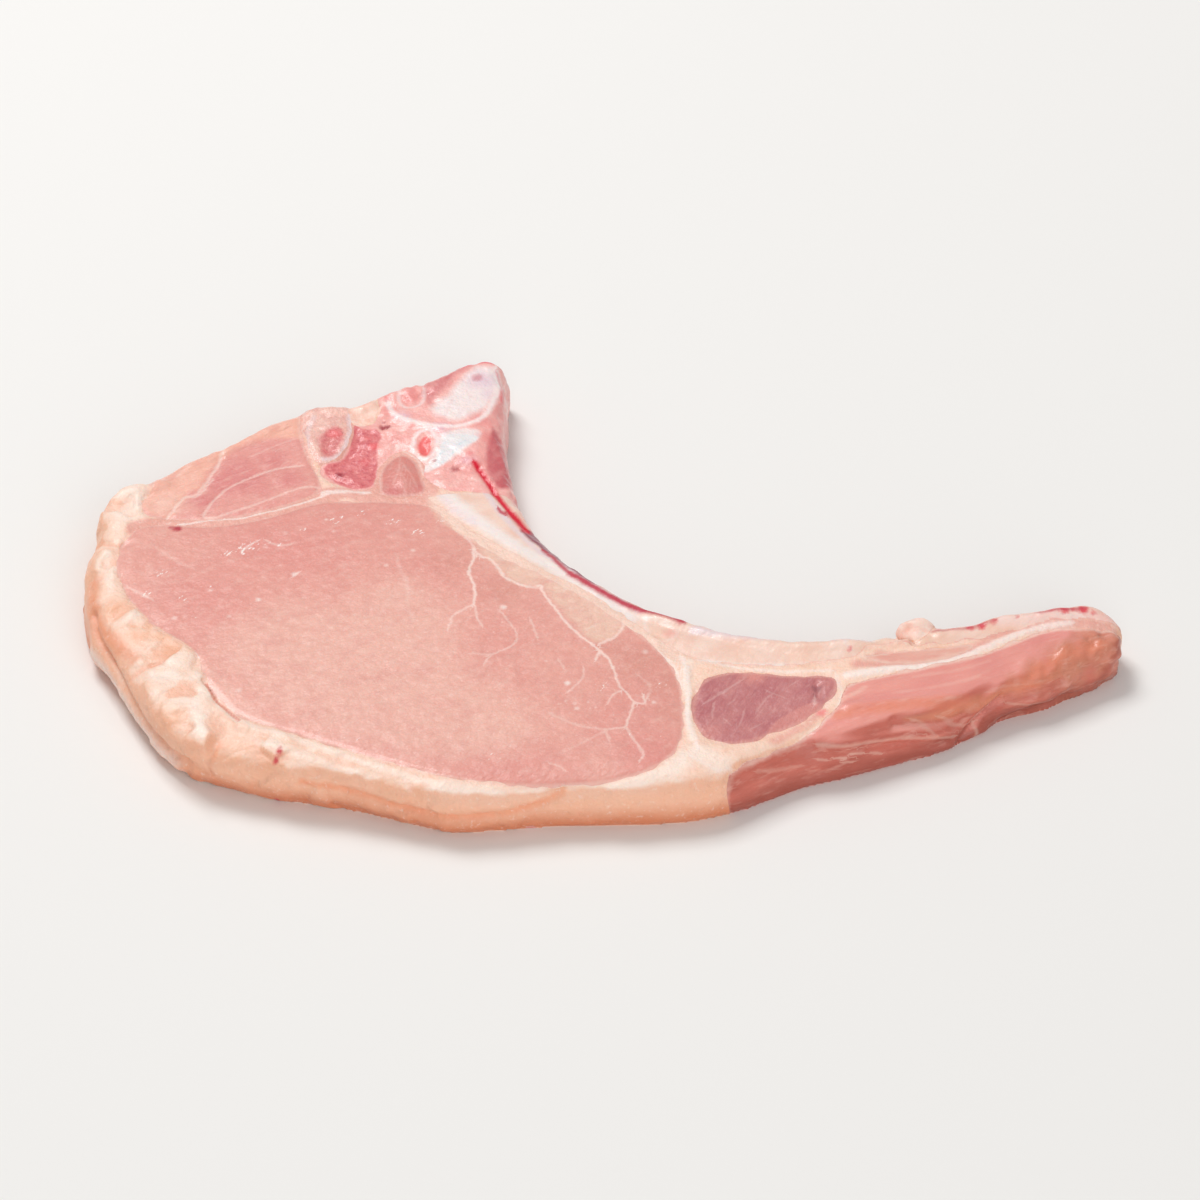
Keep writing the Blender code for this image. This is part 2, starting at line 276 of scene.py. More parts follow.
RIB_OUTLINE = smooth_path((
    (-29.6, 23.6), (-28.6, 19.4), (-24, 13), (-17.6, 7), (-10.4, 0.6), (-3.6, -5.6), (3.6, -12.6),
    (11, -20.6), (17, -25.2), (27, -27), (38, -26.6), (45.4, -25), (48, -22.9), (53, -21.8),
    (57.2, -21.7), (66, -20.2), (78, -16.6), (88, -14.4), (102, -14), (100, 0), (62, -6), (60.3, -16),
    (56.9, -20.9), (53, -20.8), (51, -17), (48, -10), (20, -6), (2, 10), (-4, 23),
), closed=True)
DARK_OUTLINE = smooth_path((
    (16.6, -35), (18.6, -31.2), (24, -29), (33, -30), (41.2, -30.8), (41.8, -34), (37.6, -41),
    (31, -45.6), (24.5, -48.8), (19, -48), (15.9, -42),
), closed=True)
STRIP_OUTLINE = smooth_path((
    (47.6, -25), (53, -23.6), (60, -22.8), (66.6, -21.6), (66, -23.6), (57.6, -26.8), (50, -26.6),
), closed=True)
FLANK_OUTLINE = smooth_path((
    (43.6, -33.6), (50, -30.6), (60.6, -27.4), (68, -24.6), (75.9, -20.2), (82, -17.6), (90, -17.2),
    (104, -17), (100, -34), (70, -60), (22, -70), (21.4, -57.4), (28, -51.2), (36, -46.2),
    (41.2, -39.8),
), closed=True)
SEAMED_OUTLINES = (EYE_OUTLINE, UPPER_OUTLINE, PROCESS_OUTLINE, CHINE_OUTLINE, DISC_OUTLINE,
                   RIB_OUTLINE, DARK_OUTLINE, STRIP_OUTLINE)

# Relief: lumps as their height, size, turn and stretch; spots as their place, radius and height;
# rises and dips as their height and half width in millimetres, and their line

FAR_LUMPS = (0.45, 6)
FAR_SQUASH = 2.2
FAR_GRAIN = ((0.15, 2.2, 0, 1),)
FACE_LUMPS = ((0.2, 17, 0, 1), (0.06, 4.2, 0, 1))
FAT_LUMPS = ((0.22, 5.5, 0, 1), (0.1, 2.1, 0, 1))
FLANK_SIDE_LUMPS = ((0.4, 4, 0.5, 4), (0.2, 1.8, 0.5, 3))
FLANK_FACE_LUMPS = ((0.16, 2.4, 0.42, 4),)
RAGGED_LUMPS = ((0.45, 3, 0, 1), (0.2, 1.3, 0, 1))
FRINGE_LUMPS = ((0.7, 1.7, 1.2, 4),)
BONE_LUMPS = ((0.26, 3.1, 0, 1), (0.18, 1.3, 0, 1))
SEAM_DIP = 0.16
SEAM_WIDTH = 0.6
MUSCLE_RISE = 0.15
MUSCLE_ROUNDING = 3
HIGH_FROM = 10.6
HIGH_ROOM = 1.1
FAR_RIM_GROWTH = 1.3
FAR_RIM_SPOTS = (
    (-84, 27, 8, 1.0), (62, -12, 10, 0.4), (76, -10, 9, 0.8), (87, -8, 6, 0.3), (-21, 63, 8, 0.4),
)
RIB_INNER_LINE = ((-30, 22), (-24, 12), (-16, 4), (-8, -3), (0, -10.4), (8, -19), (14, -25))
RIB_JOIN = ((1, 3.4, RIB_INNER_LINE),)
RAGGED = (
    (-80, -28, 7, 0.7), (-74, -40, 7, 0.7), (-88, -14, 6, 0.4), (-84, 24, 5, 0.6),
    (56.6, -14, 3.6, 1.6), (92, -21, 6, 1.6), (84, -27, 5, 1.0), (84, -14, 6, 0.5), (-50, 46, 5, 0.6),
    (-58, -50, 7, 0.4), (-44, -56, 6, 0.4),
)
FRINGED = ((84, -25, 5, 1), (90, -21, 5, 1), (94, -18, 4, 1), (78, -29, 4, 0.7))
TOP_SWELLS = (
    (0.7, 1.5, ((-82.4, -31), (-81, -37), (-79.6, -40.4), (-76, -44.4), (-71.6, -48.2), (-70, -47),
                (-69, -43.6), (-68.4, -39), (-71.6, -35), (-74, -31.6), (-77, -30.4))),
    (0.45, 1.4, ((-91.4, 8), (-88.4, 7.4), (-88, 0), (-85, -7.4), (-80, -15.6), (-76, -20.4),
                 (-73.6, -24.4), (-76, -26), (-82.6, -25.6), (-86.4, -21), (-90, -14), (-91.6, -4))),
    (0.3, 1.2, ((-29.6, 47), (-26.4, 45.2), (-21.4, 48.2), (-18.6, 55), (-18.6, 61), (-22, 61),
                (-26.3, 55))),
)
TOP_RISES = (
    (0.5, 1.1, ((-78.4, -17.6), (-76.4, -19.6), (-74, -22.6))),
    (0.5, 1.2, ((-73.4, -28.6), (-71.4, -33.6), (-68, -39.4), (-64.4, -42.8), (-56, -46.8))),
    (0.4, 1.6, ((-61.4, -47.6), (-53.7, -51.2), (-47.8, -54.2), (-41, -57))),
    (0.4, 2.0, ((-33, -60), (-22, -62), (-8, -61.4))),
    (0.5, 2.4, ((-87, 25.4), (-85.6, 22), (-88, 16.6))),
    (0.3, 2.6, ((-29.5, 28), (-24.5, 18), (-17, 8), (-9.5, -0.5), (-1, -9), (6, -15), (16, -20),
                (30, -22.6), (46, -22.6))),
    (0.25, 1.0, ((-51, 34.6), (-52.8, 38.5), (-53.2, 44), (-51.2, 49), (-47.4, 49.4), (-45.4, 45),
                 (-46, 40), (-48.4, 35.6), (-51, 34.6))),
    (0.3, 1.0, ((-38.9, 48.5), (-35.1, 45.4), (-29.5, 43.2), (-23.9, 43.6), (-20.1, 47.1), (-17.8, 56))),
    (0.12, 0.8, ((-34, 38), (-32.8, 41.4), (-30.6, 41), (-29.8, 37), (-31.6, 34.6), (-34, 38))),
    (0.5, 2.4, ((-36.4, 33), (-35.6, 28.4))),
    (0.3, 0.8, ((15, -28), (15.2, -36), (15, -44), (17, -50))),
    (0.35, 1.0, ((43.7, -39.4), (54, -38), (65.6, -35), (72.6, -31), (78, -27.2), (83.2, -23.4),
                 (87.2, -20.6))),
    (0.35, 1.2, ((44.1, -30.5), (51.7, -28.7), (59.8, -27.6), (66.2, -25), (77.3, -17.6), (85, -15))),
    (0.3, 0.8, ((8, -14), (11.6, -15.4), (13.6, -18.4), (11, -20.6), (8.4, -18.4))),
)
TOP_DIPS = (
    (0.5, 1.0, ((-92.4, 12), (-88.5, 9.6), (-86.6, 10))),
    (0.45, 1.0, ((-84.4, -27.4), (-82.4, -26.2), (-79.4, -25.6))),
    (0.6, 0.7, ((-73, -51), (-70.6, -49.2), (-69.4, -46.8))),
    (0.5, 0.6, ((-71.8, -30.3), (-70, -34.1), (-67.6, -38.4), (-65.7, -41.7))),
    (0.7, 0.8, ((-39.4, 46.6), (-39.6, 44))),
    (0.4, 0.9, ((-36, 52.6), (-34.2, 49.7), (-32.3, 52.5), (-34.2, 55.5))),
    (0.5, 1.1, ((-32, 55.6), (-30.4, 51), (-29.5, 49.4))), (0.2, 0.9, ((-32, 39.6), (-31.4, 36.4))),
    (0.25, 0.9, ((-26.6, 31), (-25.4, 31.4))), (0.3, 1.4, ((-49.4, 41.4), (-50, 37.4))),
    (0.35, 0.9, ((-44.6, 43), (-44.4, 38.4), (-47.6, 33.6), (-49.6, 30.6), (-46.6, 28.2))),
    (0.4, 0.6, ((-22, 31.4), (-20, 26.4), (-17.4, 20.8), (-14.4, 15.4), (-12.2, 11.6), (-8.6, 6.4))),
    (0.6, 0.7, ((38.4, -32.6), (38.6, -36))),
    (0.25, 0.6, ((-79.4, 18.1), (-76.2, 24), (-74, 24.9), (-70.5, 32.9), (-68.7, 39), (-63.2, 43.4))),
    (0.2, 0.6, ((-72.7, 18.9), (-70.3, 23.9), (-66.7, 27.8), (-60.5, 31.7), (-55, 33.1))),
)
WALL_RISES = (
    (0.3, 1.6, ((-58, 8.2), (-50, 8.4), (-40, 7.6), (-30, 7.2), (-20, 7.4), (-10, 8.2), (6, 8))),
    (0.3, 1.4, ((-52, 4), (-40, 3), (-30, 2.4), (-20, 2.6))),
    (0.5, 1.0, ((38, 8.4), (45, 7.2), (52, 6.4), (58, 5.2), (62, 4))),
    (0.5, 0.9, ((66.6, 1.7), (68.4, 1.2))), (0.5, 1.0, ((67.5, 5.8), (71, 7.2))),
    (0.6, 1.2, ((72, 4.4), (76, 4.4), (80, 4))),
)
WALL_DIPS = (
    (0.6, 1.0, ((-47, 6.2), (-40, 5.4), (-33, 4.6), (-26, 4.6), (-18, 5), (-12, 6.4), (-8, 8.2))),
    (0.9, 0.7, ((63.8, 0.4), (64.8, 2), (66.4, 3), (68, 4.2), (71.5, 6.4))),
    (0.5, 0.6, ((46, 6), (52, 4.8), (57.4, 3.4), (63.8, 1.9))),
    (0.6, 0.8, ((52, 8.4), (58, 7.2), (65.1, 6.2))),
    (0.8, 1.1, ((72, 0.6), (76, 1), (80, 1.2), (84, 1))), (0.5, 0.7, ((72, 6.2), (77, 6.4), (83, 6))),
)
LEFT_DIPS = (
    (1.1, 0.9, ((-8, 8.4), (-12.9, 7.6), (-19, 7.2), (-27, 6.6), (-34, 6), (-40, 5.6), (-46, 5))),
)
LEFT_RISES = ((1.0, 2.4, ((-14, 3), (-20, 3.6), (-28, 3.4), (-36, 3), (-44, 2.6))),)


def press_relief(thing):
    """Dips along seams, swelling muscle, lumpy fat, ridged flank and rough bone, in the mesh itself."""
    mesh = thing.data
    places = plan_points(mesh)
    facing = facings(mesh)
    upward = fade(facing[:, 2], 0.1, 0.8)
    sideways = fade(numpy.hypot(facing[:, 0], facing[:, 1]), 0.3, 0.9)
    nearside = fade(-facing[:, 1], 0.2, 0.6)
    farside = fade(facing[:, 1], 0.08, 0.5)
    leftside = fade(-facing[:, 0], 0.2, 0.5)
    depths = [depth_inside(places, outline) for outline in (*SEAMED_OUTLINES, FLANK_OUTLINE)]
    bone_depths = [depth_inside(places, outline) for outline in (PROCESS_OUTLINE, CHINE_OUTLINE)]
    seam = numpy.min(numpy.abs(depths), axis=0)
    inside = numpy.max(depths, axis=0)
    in_fat = fade(-inside, 0, 1.2)
    in_flank = fade(depths[-1], 0, 1)
    in_bone = fade(numpy.max(bone_depths, axis=0), 0, 1)
    rise = MUSCLE_RISE * (1 - numpy.exp(-numpy.maximum(inside, 0) / MUSCLE_ROUNDING))
    rise -= SEAM_DIP * numpy.exp(-(seam / SEAM_WIDTH) ** 2) * (1 - strokes(places, RIB_JOIN))
    rise += patches(places, TOP_SWELLS) + strokes(places, TOP_RISES) - strokes(places, TOP_DIPS)
    rise *= upward
    from_front, from_left = places[:, [0, 2]], places[:, [1, 2]]
    rise += nearside * (strokes(from_front, WALL_RISES) - strokes(from_front, WALL_DIPS))
    rise += leftside * (strokes(from_left, LEFT_RISES) - strokes(from_left, LEFT_DIPS))
    rise += farside * (FAR_RIM_GROWTH + spots(places, FAR_RIM_SPOTS))
    rise += farside * FAR_LUMPS[0] * lumps(places * (1, 1, FAR_SQUASH), FAR_LUMPS[1])
    rise += numpy.minimum(spots(places, CRAGGED), in_fat) * CRAG_HEIGHT * (crags(places) - CRAG_BASE)
    for share, rows in (
        (farside, FAR_GRAIN), (upward, FACE_LUMPS), (in_fat * (upward + sideways), FAT_LUMPS),
        (in_flank * sideways, FLANK_SIDE_LUMPS), (spots(places, RAGGED), RAGGED_LUMPS),
        (spots(places, FRINGED) * in_flank, FRINGE_LUMPS), (in_flank * upward, FLANK_FACE_LUMPS),
        (in_bone * (upward + 0.6 * sideways), BONE_LUMPS),
    ):
        for height, size, turn, stretch in rows:
            rise += share * height * lumps(places, size, turn, stretch)
    places[:, :2] -= MEASURED_FROM
    lifted = places + facing * rise[:, None]
    spare = numpy.maximum(lifted[:, 2] - HIGH_FROM, 0)
    lifted[:, 2] += HIGH_ROOM * numpy.tanh(spare / HIGH_ROOM) - spare
    lifted[:, 2] = numpy.where(places[:, 2] < FLOOR_SNAP, 0, numpy.maximum(lifted[:, 2], 0))
    mesh.vertices.foreach_set("co", (lifted * MM).ravel())
    mesh.update()


slab = slab_skin()
press_relief(slab)

# Eye muscle
# The large oval of loin, cut straight across its fibres: pale pink, wet, with a few thin white
# veins of fat, a beige film beside the rib and a deeper blush at its upper left and lower right.

EYE_VEINS = (
    (1, 0.3, ((-22.9, 6.6), (-23, 4), (-23.6, 1), (-23.9, -0.5), (-23.2, -3), (-22.8, -6),
              (-22.9, -9.8))),
    (0.6, 0.25, ((-22.9, -9.8), (-22.6, -13), (-21.6, -16))),
    (0.6, 0.3, ((-22.9, -9.8), (-24.8, -11), (-26.8, -13), (-27.3, -15), (-27.7, -17))),
    (1, 0.35, ((-22.9, 6.6), (-21.5, 4.6), (-19.6, 3.4), (-18.5, 1), (-17.4, -1.8), (-15.5, -3.4),
               (-13.4, -4.6))),
    (0.6, 0.35, ((-22.9, 6.6), (-23.6, 9.4), (-26, 13))),
    (0.6, 0.4, ((-13.4, -4.6), (-12, -4.9), (-10.8, -4.4))),
    (1, 0.3, ((-10.8, -4.4), (-10.2, -7), (-8.4, -11), (-6.4, -15), (-4.6, -18), (-2.4, -20.6),
              (-0.6, -23), (0.9, -25), (1.9, -28))),
    (0.8, 0.3, ((-1.2, -25.6), (-0.6, -23.4))),
    (0.8, 0.25, ((1.9, -28), (2.4, -30.4), (2.9, -33), (4.4, -35.4), (5.4, -37.6))),
    (0.8, 0.3, ((5.4, -37.6), (7.4, -38), (7.2, -35.8))),
    (0.8, 0.28, ((5.4, -37.6), (4.9, -40.4), (4.4, -42), (3.8, -44.6))),
    (0.6, 0.25, ((3.8, -44.6), (4.8, -47.4), (6.2, -50.4), (6.9, -52), (6, -54))),
    (0.5, 0.25, ((3.8, -44.6), (1.6, -45), (0.2, -45.4), (0.8, -47.6))),
    (0.35, 0.35, ((0.2, -45.2), (-3, -44.6), (-6, -43.4), (-9.4, -41))),
    (0.55, 0.25, ((2.9, -34.5), (1.8, -35.4), (0.6, -38))),
    (0.5, 0.25, ((-15.4, -18), (-15.5, -21), (-17.6, -23), (-20, -24.4), (-21.2, -26.8))),
    (0.35, 0.3, ((-20, -24.4), (-23.6, -24))),
    (0.45, 0.25, ((-18.2, -12), (-17.2, -14), (-15.6, -17.2))),
    (0.5, 0.3, ((-12.8, -14.6), (-12, -18), (-11.6, -19.4))),
    (0.5, 0.25, ((-3.4, -28), (-3.6, -30.6), (-5, -33), (-6.6, -35))),
    (0.45, 0.3, ((-7.8, -26), (-7, -28))), (0.4, 0.25, ((-9.8, -54.2), (-8.4, -55), (-7.4, -56))),
    (0.55, 0.3, ((-61, 10.4), (-60, 9.2), (-58, 8.6), (-56.4, 9))),
    (0.5, 0.35, ((-86, -2.6), (-84, -4.4), (-81.8, -6.4))),
    (0.2, 0.4, ((-81, 8.6), (-78, 5.4), (-74.4, 2.4))),
    (0.22, 0.4, ((-36.9, 4), (-36.4, 1), (-35.4, -2), (-35, -6), (-35, -10), (-34, -14))),
    (0.8, 0.35, ((-0.5, -21.3), (2.9, -18.6), (4.8, -13.8))),
    (0.4, 0.25, ((4, -45), (5.2, -48), (6.8, -52.5))), (0.3, 0.22, ((0.4, -46.8), (0.7, -48.6))),
    (0.25, 0.3, ((-6.2, -50.4), (-3, -48), (-0.1, -45.8))),
    (0.25, 0.3, ((6.4, -30), (8.4, -33), (8, -36))),
)
# White specks on the eye: a few flecks of fat, most of them painted glints of the wet surface.
EYE_FLECKS_AND_GLINTS = (
    (-17.7, -10.8, 0.8, 0.9), (-6.4, -32.4, 0.7, 1), (-5.2, -38, 0.6, 0.7), (-4.8, -39.4, 0.6, 0.8),
    (-6.8, -37.4, 0.5, 0.6), (-2.8, -37.6, 0.5, 0.6), (-1.4, -39, 0.5, 0.6), (-8, -38.2, 0.5, 0.6),
    (9, -37.6, 0.6, 0.7), (-55.8, 0, 0.7, 0.8), (-62.2, -7.4, 0.7, 0.8), (-39, 2, 0.7, 0.6),
    (-34, 6.4, 0.7, 0.7), (-77.4, -12, 0.7, 0.7), (-67.4, -12, 0.7, 0.6), (-71, -4.4, 0.6, 0.7),
    (-50, 16.2, 0.6, 0.7), (-48.6, 12.4, 0.6, 0.6), (-65.4, -33, 0.8, 0.7), (-26.6, -23.4, 0.6, 0.5),
    (-17, -37, 0.5, 0.6), (-27.4, -35.6, 0.9, 0.4), (7.8, -23.4, 0.9, 0.6), (-10.2, -26.2, 0.5, 0.6),
    (-64.6, 7.6, 1.2, 0.4), (-61, 8.4, 1, 0.4), (-57.6, 12.4, 0.9, 0.5), (-82.6, -5.4, 1, 0.5),
)
EYE_FILM = (
    (0.9, 1.2, ((-23.6, 9.4), (-22.2, 6.4), (-19.6, 2.6), (-17.4, -2), (-13, -4.8), (-9.4, -3.4),
                (-9, 0), (-14, 5.4), (-20, 11), (-26, 17), (-30, 22), (-30, 17))),
    (0.9, 1.0, ((-10.6, -4.4), (-7.6, -3.4), (-2, -8), (3, -12.6), (5.4, -15), (2.9, -18.6),
                (-0.5, -21.3), (-4.6, -16.6), (-7.9, -10.6))),
)
EYE_BLUSH = (
    (-58, 9, 16, 0.9), (-72, -6, 11, 0.7), (-78, 3, 8, 0.4), (8, -52, 6, 1), (9, -53, 4, 1),
    (-42, 14, 12, 0.6), (-18, -57, 8, 0.7), (-30, 3, 6, 0.5), (-64, -20, 8, 0.4), (6, -42, 7, 0.4),
)
# A lighter middle of the eye, painted as the sheen of the light across the cut face.
EYE_PALE_SHEEN = (
    (1, 5, ((-60, -9), (-48, -9), (-36, -2), (-27, -14), (-25, -28), (-12, -41), (-18, -51),
            (-38, -50), (-54, -43), (-64, -32), (-70, -22))),
)
EYE_DUSK = (
    (7, -26, 5, 0.9), (11, -32, 4, 0.8), (-18, -6, 4, 0.8), (-27, 3, 4, 0.6), (2, -22, 3, 0.7),
    (-14, 5, 3, 0.3), (12, -40, 3, 0.6),
)
EYE_FLANGE = (
    (0.9, 1.0, ((-78, -18.6), (-73, -22.6), (-69, -28.4), (-65, -33.6), (-62, -39), (-58.6, -44.2),
                (-66, -41), (-71, -31.6), (-75.4, -22))),
)
EYE_BLOOD = (
    (-77.5, 14.6, 1.3, 1), (-78.6, 15, 0.9, 0.8), (-31, -21.6, 0.9, 0.35), (4.2, -51.6, 0.7, 0.5),
    (4, -53, 0.7, 0.5), (11.8, -52.4, 0.8, 0.4), (9.6, -44.6, 0.6, 0.35),
)
# Where the eye's painted glints lie: small white specks that stand in for light on the wet surface.
EYE_PAINTED_GLINTS = (
    (-68, 6.4, 3, 1), (-62, 9.6, 2.4, 1), (-54, 13, 2, 1), (-38, 15, 4, 0.95), (-33, 12, 3, 1),
    (-29, 16, 2.6, 1), (-80, 1, 3, 0.95), (-76, -7, 3, 0.9), (0, -33, 3, 0.95), (5, -46, 3, 0.9),
    (-45, -47, 4, 0.85), (-20, -52, 5, 0.85), (-65, 8, 6, 0.95), (-59, 10, 4, 0.95), (-48, 16, 4, 0.9),
    (-44, 18.6, 3, 0.9), (-82.6, -4.6, 3, 0.9), (-36, 8, 5, 0.6), (-72, 0, 8, 0.6), (10, -33, 5, 0.8),
    (2, -40, 7, 0.7), (10, -46, 5, 0.8), (-24, 10, 4, 0.7), (-4, -24, 7, 0.6), (-74, -12, 6, 0.7),
    (-53, 5.6, 2.4, 0.8), (-70.5, -3.2, 2, 0.9), (-77, 9, 4, 0.7),
)
# Painted highlights: a white line of light along the fat's lip at the eye's left edge, and two short
# glints.
EYE_LIP_HIGHLIGHT = (
    (0.9, 0.4, ((-79, -17), (-77.5, -18.3), (-75, -20.7), (-73, -23.6))),
    (0.5, 0.3, ((-55.9, -0.6), (-55, 0.4))), (0.4, 0.3, ((-65.4, 7.6), (-62.7, 10.3))),
)
# Heading of the eye's diagonal streaks, bumps and painted glints.
STREAK_TURN = math.radians(38)
BORDER_WANDER = 0.7
DEEP_WANDER = 2.2
BORDER_GRAIN = 2.6
DEEP_GRAIN = 7
WANDER_TOP = 9
PRISM_LEVELS = (-5, 0, 2, 4, 6, 8, 10, 20)


def prism(outline):
    """A tall block over an outline, its sides wandering along and, below the top, inwards and out."""
    block = bmesh.new()
    ring = [block.verts.new((x * MM, y * MM, PRISM_LEVELS[0] * MM)) for x, y in outline - MEASURED_FROM]
    floor = block.faces.new(ring)
    face = floor
    for below, level in zip(PRISM_LEVELS[:-1], PRISM_LEVELS[1:]):
        raised = bmesh.ops.extrude_face_region(block, geom=[face], use_keep_orig=True)["geom"]
        if face != floor:
            bmesh.ops.delete(block, geom=[face], context="FACES_ONLY")
        corners = [item for item in raised if isinstance(item, bmesh.types.BMVert)]
        face = [item for item in raised if isinstance(item, bmesh.types.BMFace)][0]
        bmesh.ops.translate(block, verts=corners, vec=(0, 0, (level - below) * MM))
    for vertex in block.verts:
        x, y, z = vertex.co / MM + mathutils.Vector((*MEASURED_FROM, 0))
        near = mathutils.noise.noise_vector((x / BORDER_GRAIN, y / BORDER_GRAIN, 0))
        deep = mathutils.noise.noise_vector((x / DEEP_GRAIN, y / DEEP_GRAIN, z / DEEP_GRAIN))
        low = min(1, max(0, (WANDER_TOP - z) / WANDER_TOP))
        drift = near * BORDER_WANDER + deep * DEEP_WANDER * low
        vertex.co += mathutils.Vector((drift.x, drift.y, 0)) * MM
    bmesh.ops.recalc_face_normals(block, faces=block.faces)
    mesh = bpy.data.meshes.new("prism")
    block.to_mesh(mesh)
    block.free()
    return new_object("prism", mesh)


def cut_piece(name, outline):
    """Cuts the slab along an outline: what is inside becomes the piece, what is outside stays slab."""
    cutter = prism(outline)
    piece = new_object(name, slab.data.copy())
    for thing, operation in ((piece, "INTERSECT"), (slab, "DIFFERENCE")):
        cut = thing.modifiers.new("cut", "BOOLEAN")
        cut.operation = operation
        cut.solver = "MANIFOLD"
        cut.object = cutter
    for thing in (piece, slab):
        result = evaluated_mesh(thing)
        thing.modifiers.clear()
        thing.data = result
    bpy.data.objects.remove(cutter)
    return piece


def finish_piece(piece, node, material):
    """Smooth faces with crisp cut edges, the material, and the place in the frame."""
    mesh = piece.data
    mesh.materials.clear()
    mesh.materials.append(material)
    mesh.shade_smooth()
    mesh.set_sharp_from_angle(angle=math.radians(50))
    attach(piece, "root")
    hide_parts(node)


def paint(piece, name, values):
    """Stores one value a vertex under a name that the material reads."""
    layer = piece.data.attributes.new(name, "FLOAT", "POINT")
    layer.data.foreach_set("value", numpy.clip(values, 0, 1).astype(numpy.float32))


def border_share(places, outline, width=0.9):
    """How near each place is to an outline, from 1 on it to 0 at a width in millimetres from it."""
    return 1 - fade(numpy.abs(depth_inside(places, outline)), 0, width)


def linear(code):
    """An sRGB hex colour as the linear values that a shader takes."""
    shares = [int(code[place:place + 2], 16) / 255 for place in (1, 3, 5)]
    return tuple(s / 12.92 if s <= 0.04045 else ((s + 0.055) / 1.055) ** 2.4 for s in shares) + (1,)


def add_node(material, kind, settings, inputs, output=0):
    """Adds a node with its settings and its values or links, and gives one of its outputs."""
    made = material.node_tree.nodes.new(kind)
    for name, value in settings.items():
        setattr(made, name, value)
    for name, value in inputs.items():
        if isinstance(value, bpy.types.NodeSocket):
            material.node_tree.links.new(value, made.inputs[name])
        else:
            made.inputs[name].default_value = value
    return made.outputs[output]


LINE_REACH = 1.6
LINE_SOLID = 0.4


def paint_lines(piece, name, rows, axes=(0, 1)):
    """Stores how far each vertex lies from the nearest line, in half widths, and that line's strength.

    The lines are drawn on the plane of the two axes: seen from above, or from the front on a wall.
    """
    places = plan_points(piece.data)[:, axes]
    offset = numpy.full(len(places), 9.0)
    strength = numpy.zeros(len(places))
    width = numpy.ones(len(places))
    for power, half_width, points in rows:
        gap = path_offset(places, smooth_path(points))
        closer = numpy.abs(gap) < numpy.abs(offset)
        offset = numpy.where(closer, gap, offset)
        width = numpy.where(closer, half_width, width)
        strength = numpy.maximum(strength, power * fade(-numpy.abs(gap), -LINE_REACH, -LINE_SOLID))
    layer = piece.data.attributes.new(name, "FLOAT", "POINT")
    layer.data.foreach_set("value", (offset / width).astype(numpy.float32))
    paint(piece, name + "_strength", strength)


LINE_WANDER_SIZE = 1.3
LINE_CORE = 0.3
LINE_EDGE = 1.5
NOISE_DETAIL = 3
SHINE = {"IOR": 1.4, "Coat Roughness": 0.14, "Coat IOR": 1.35,
         "Subsurface Radius": (1.0, 0.45, 0.3), "Subsurface Scale": 0.3 * MM}


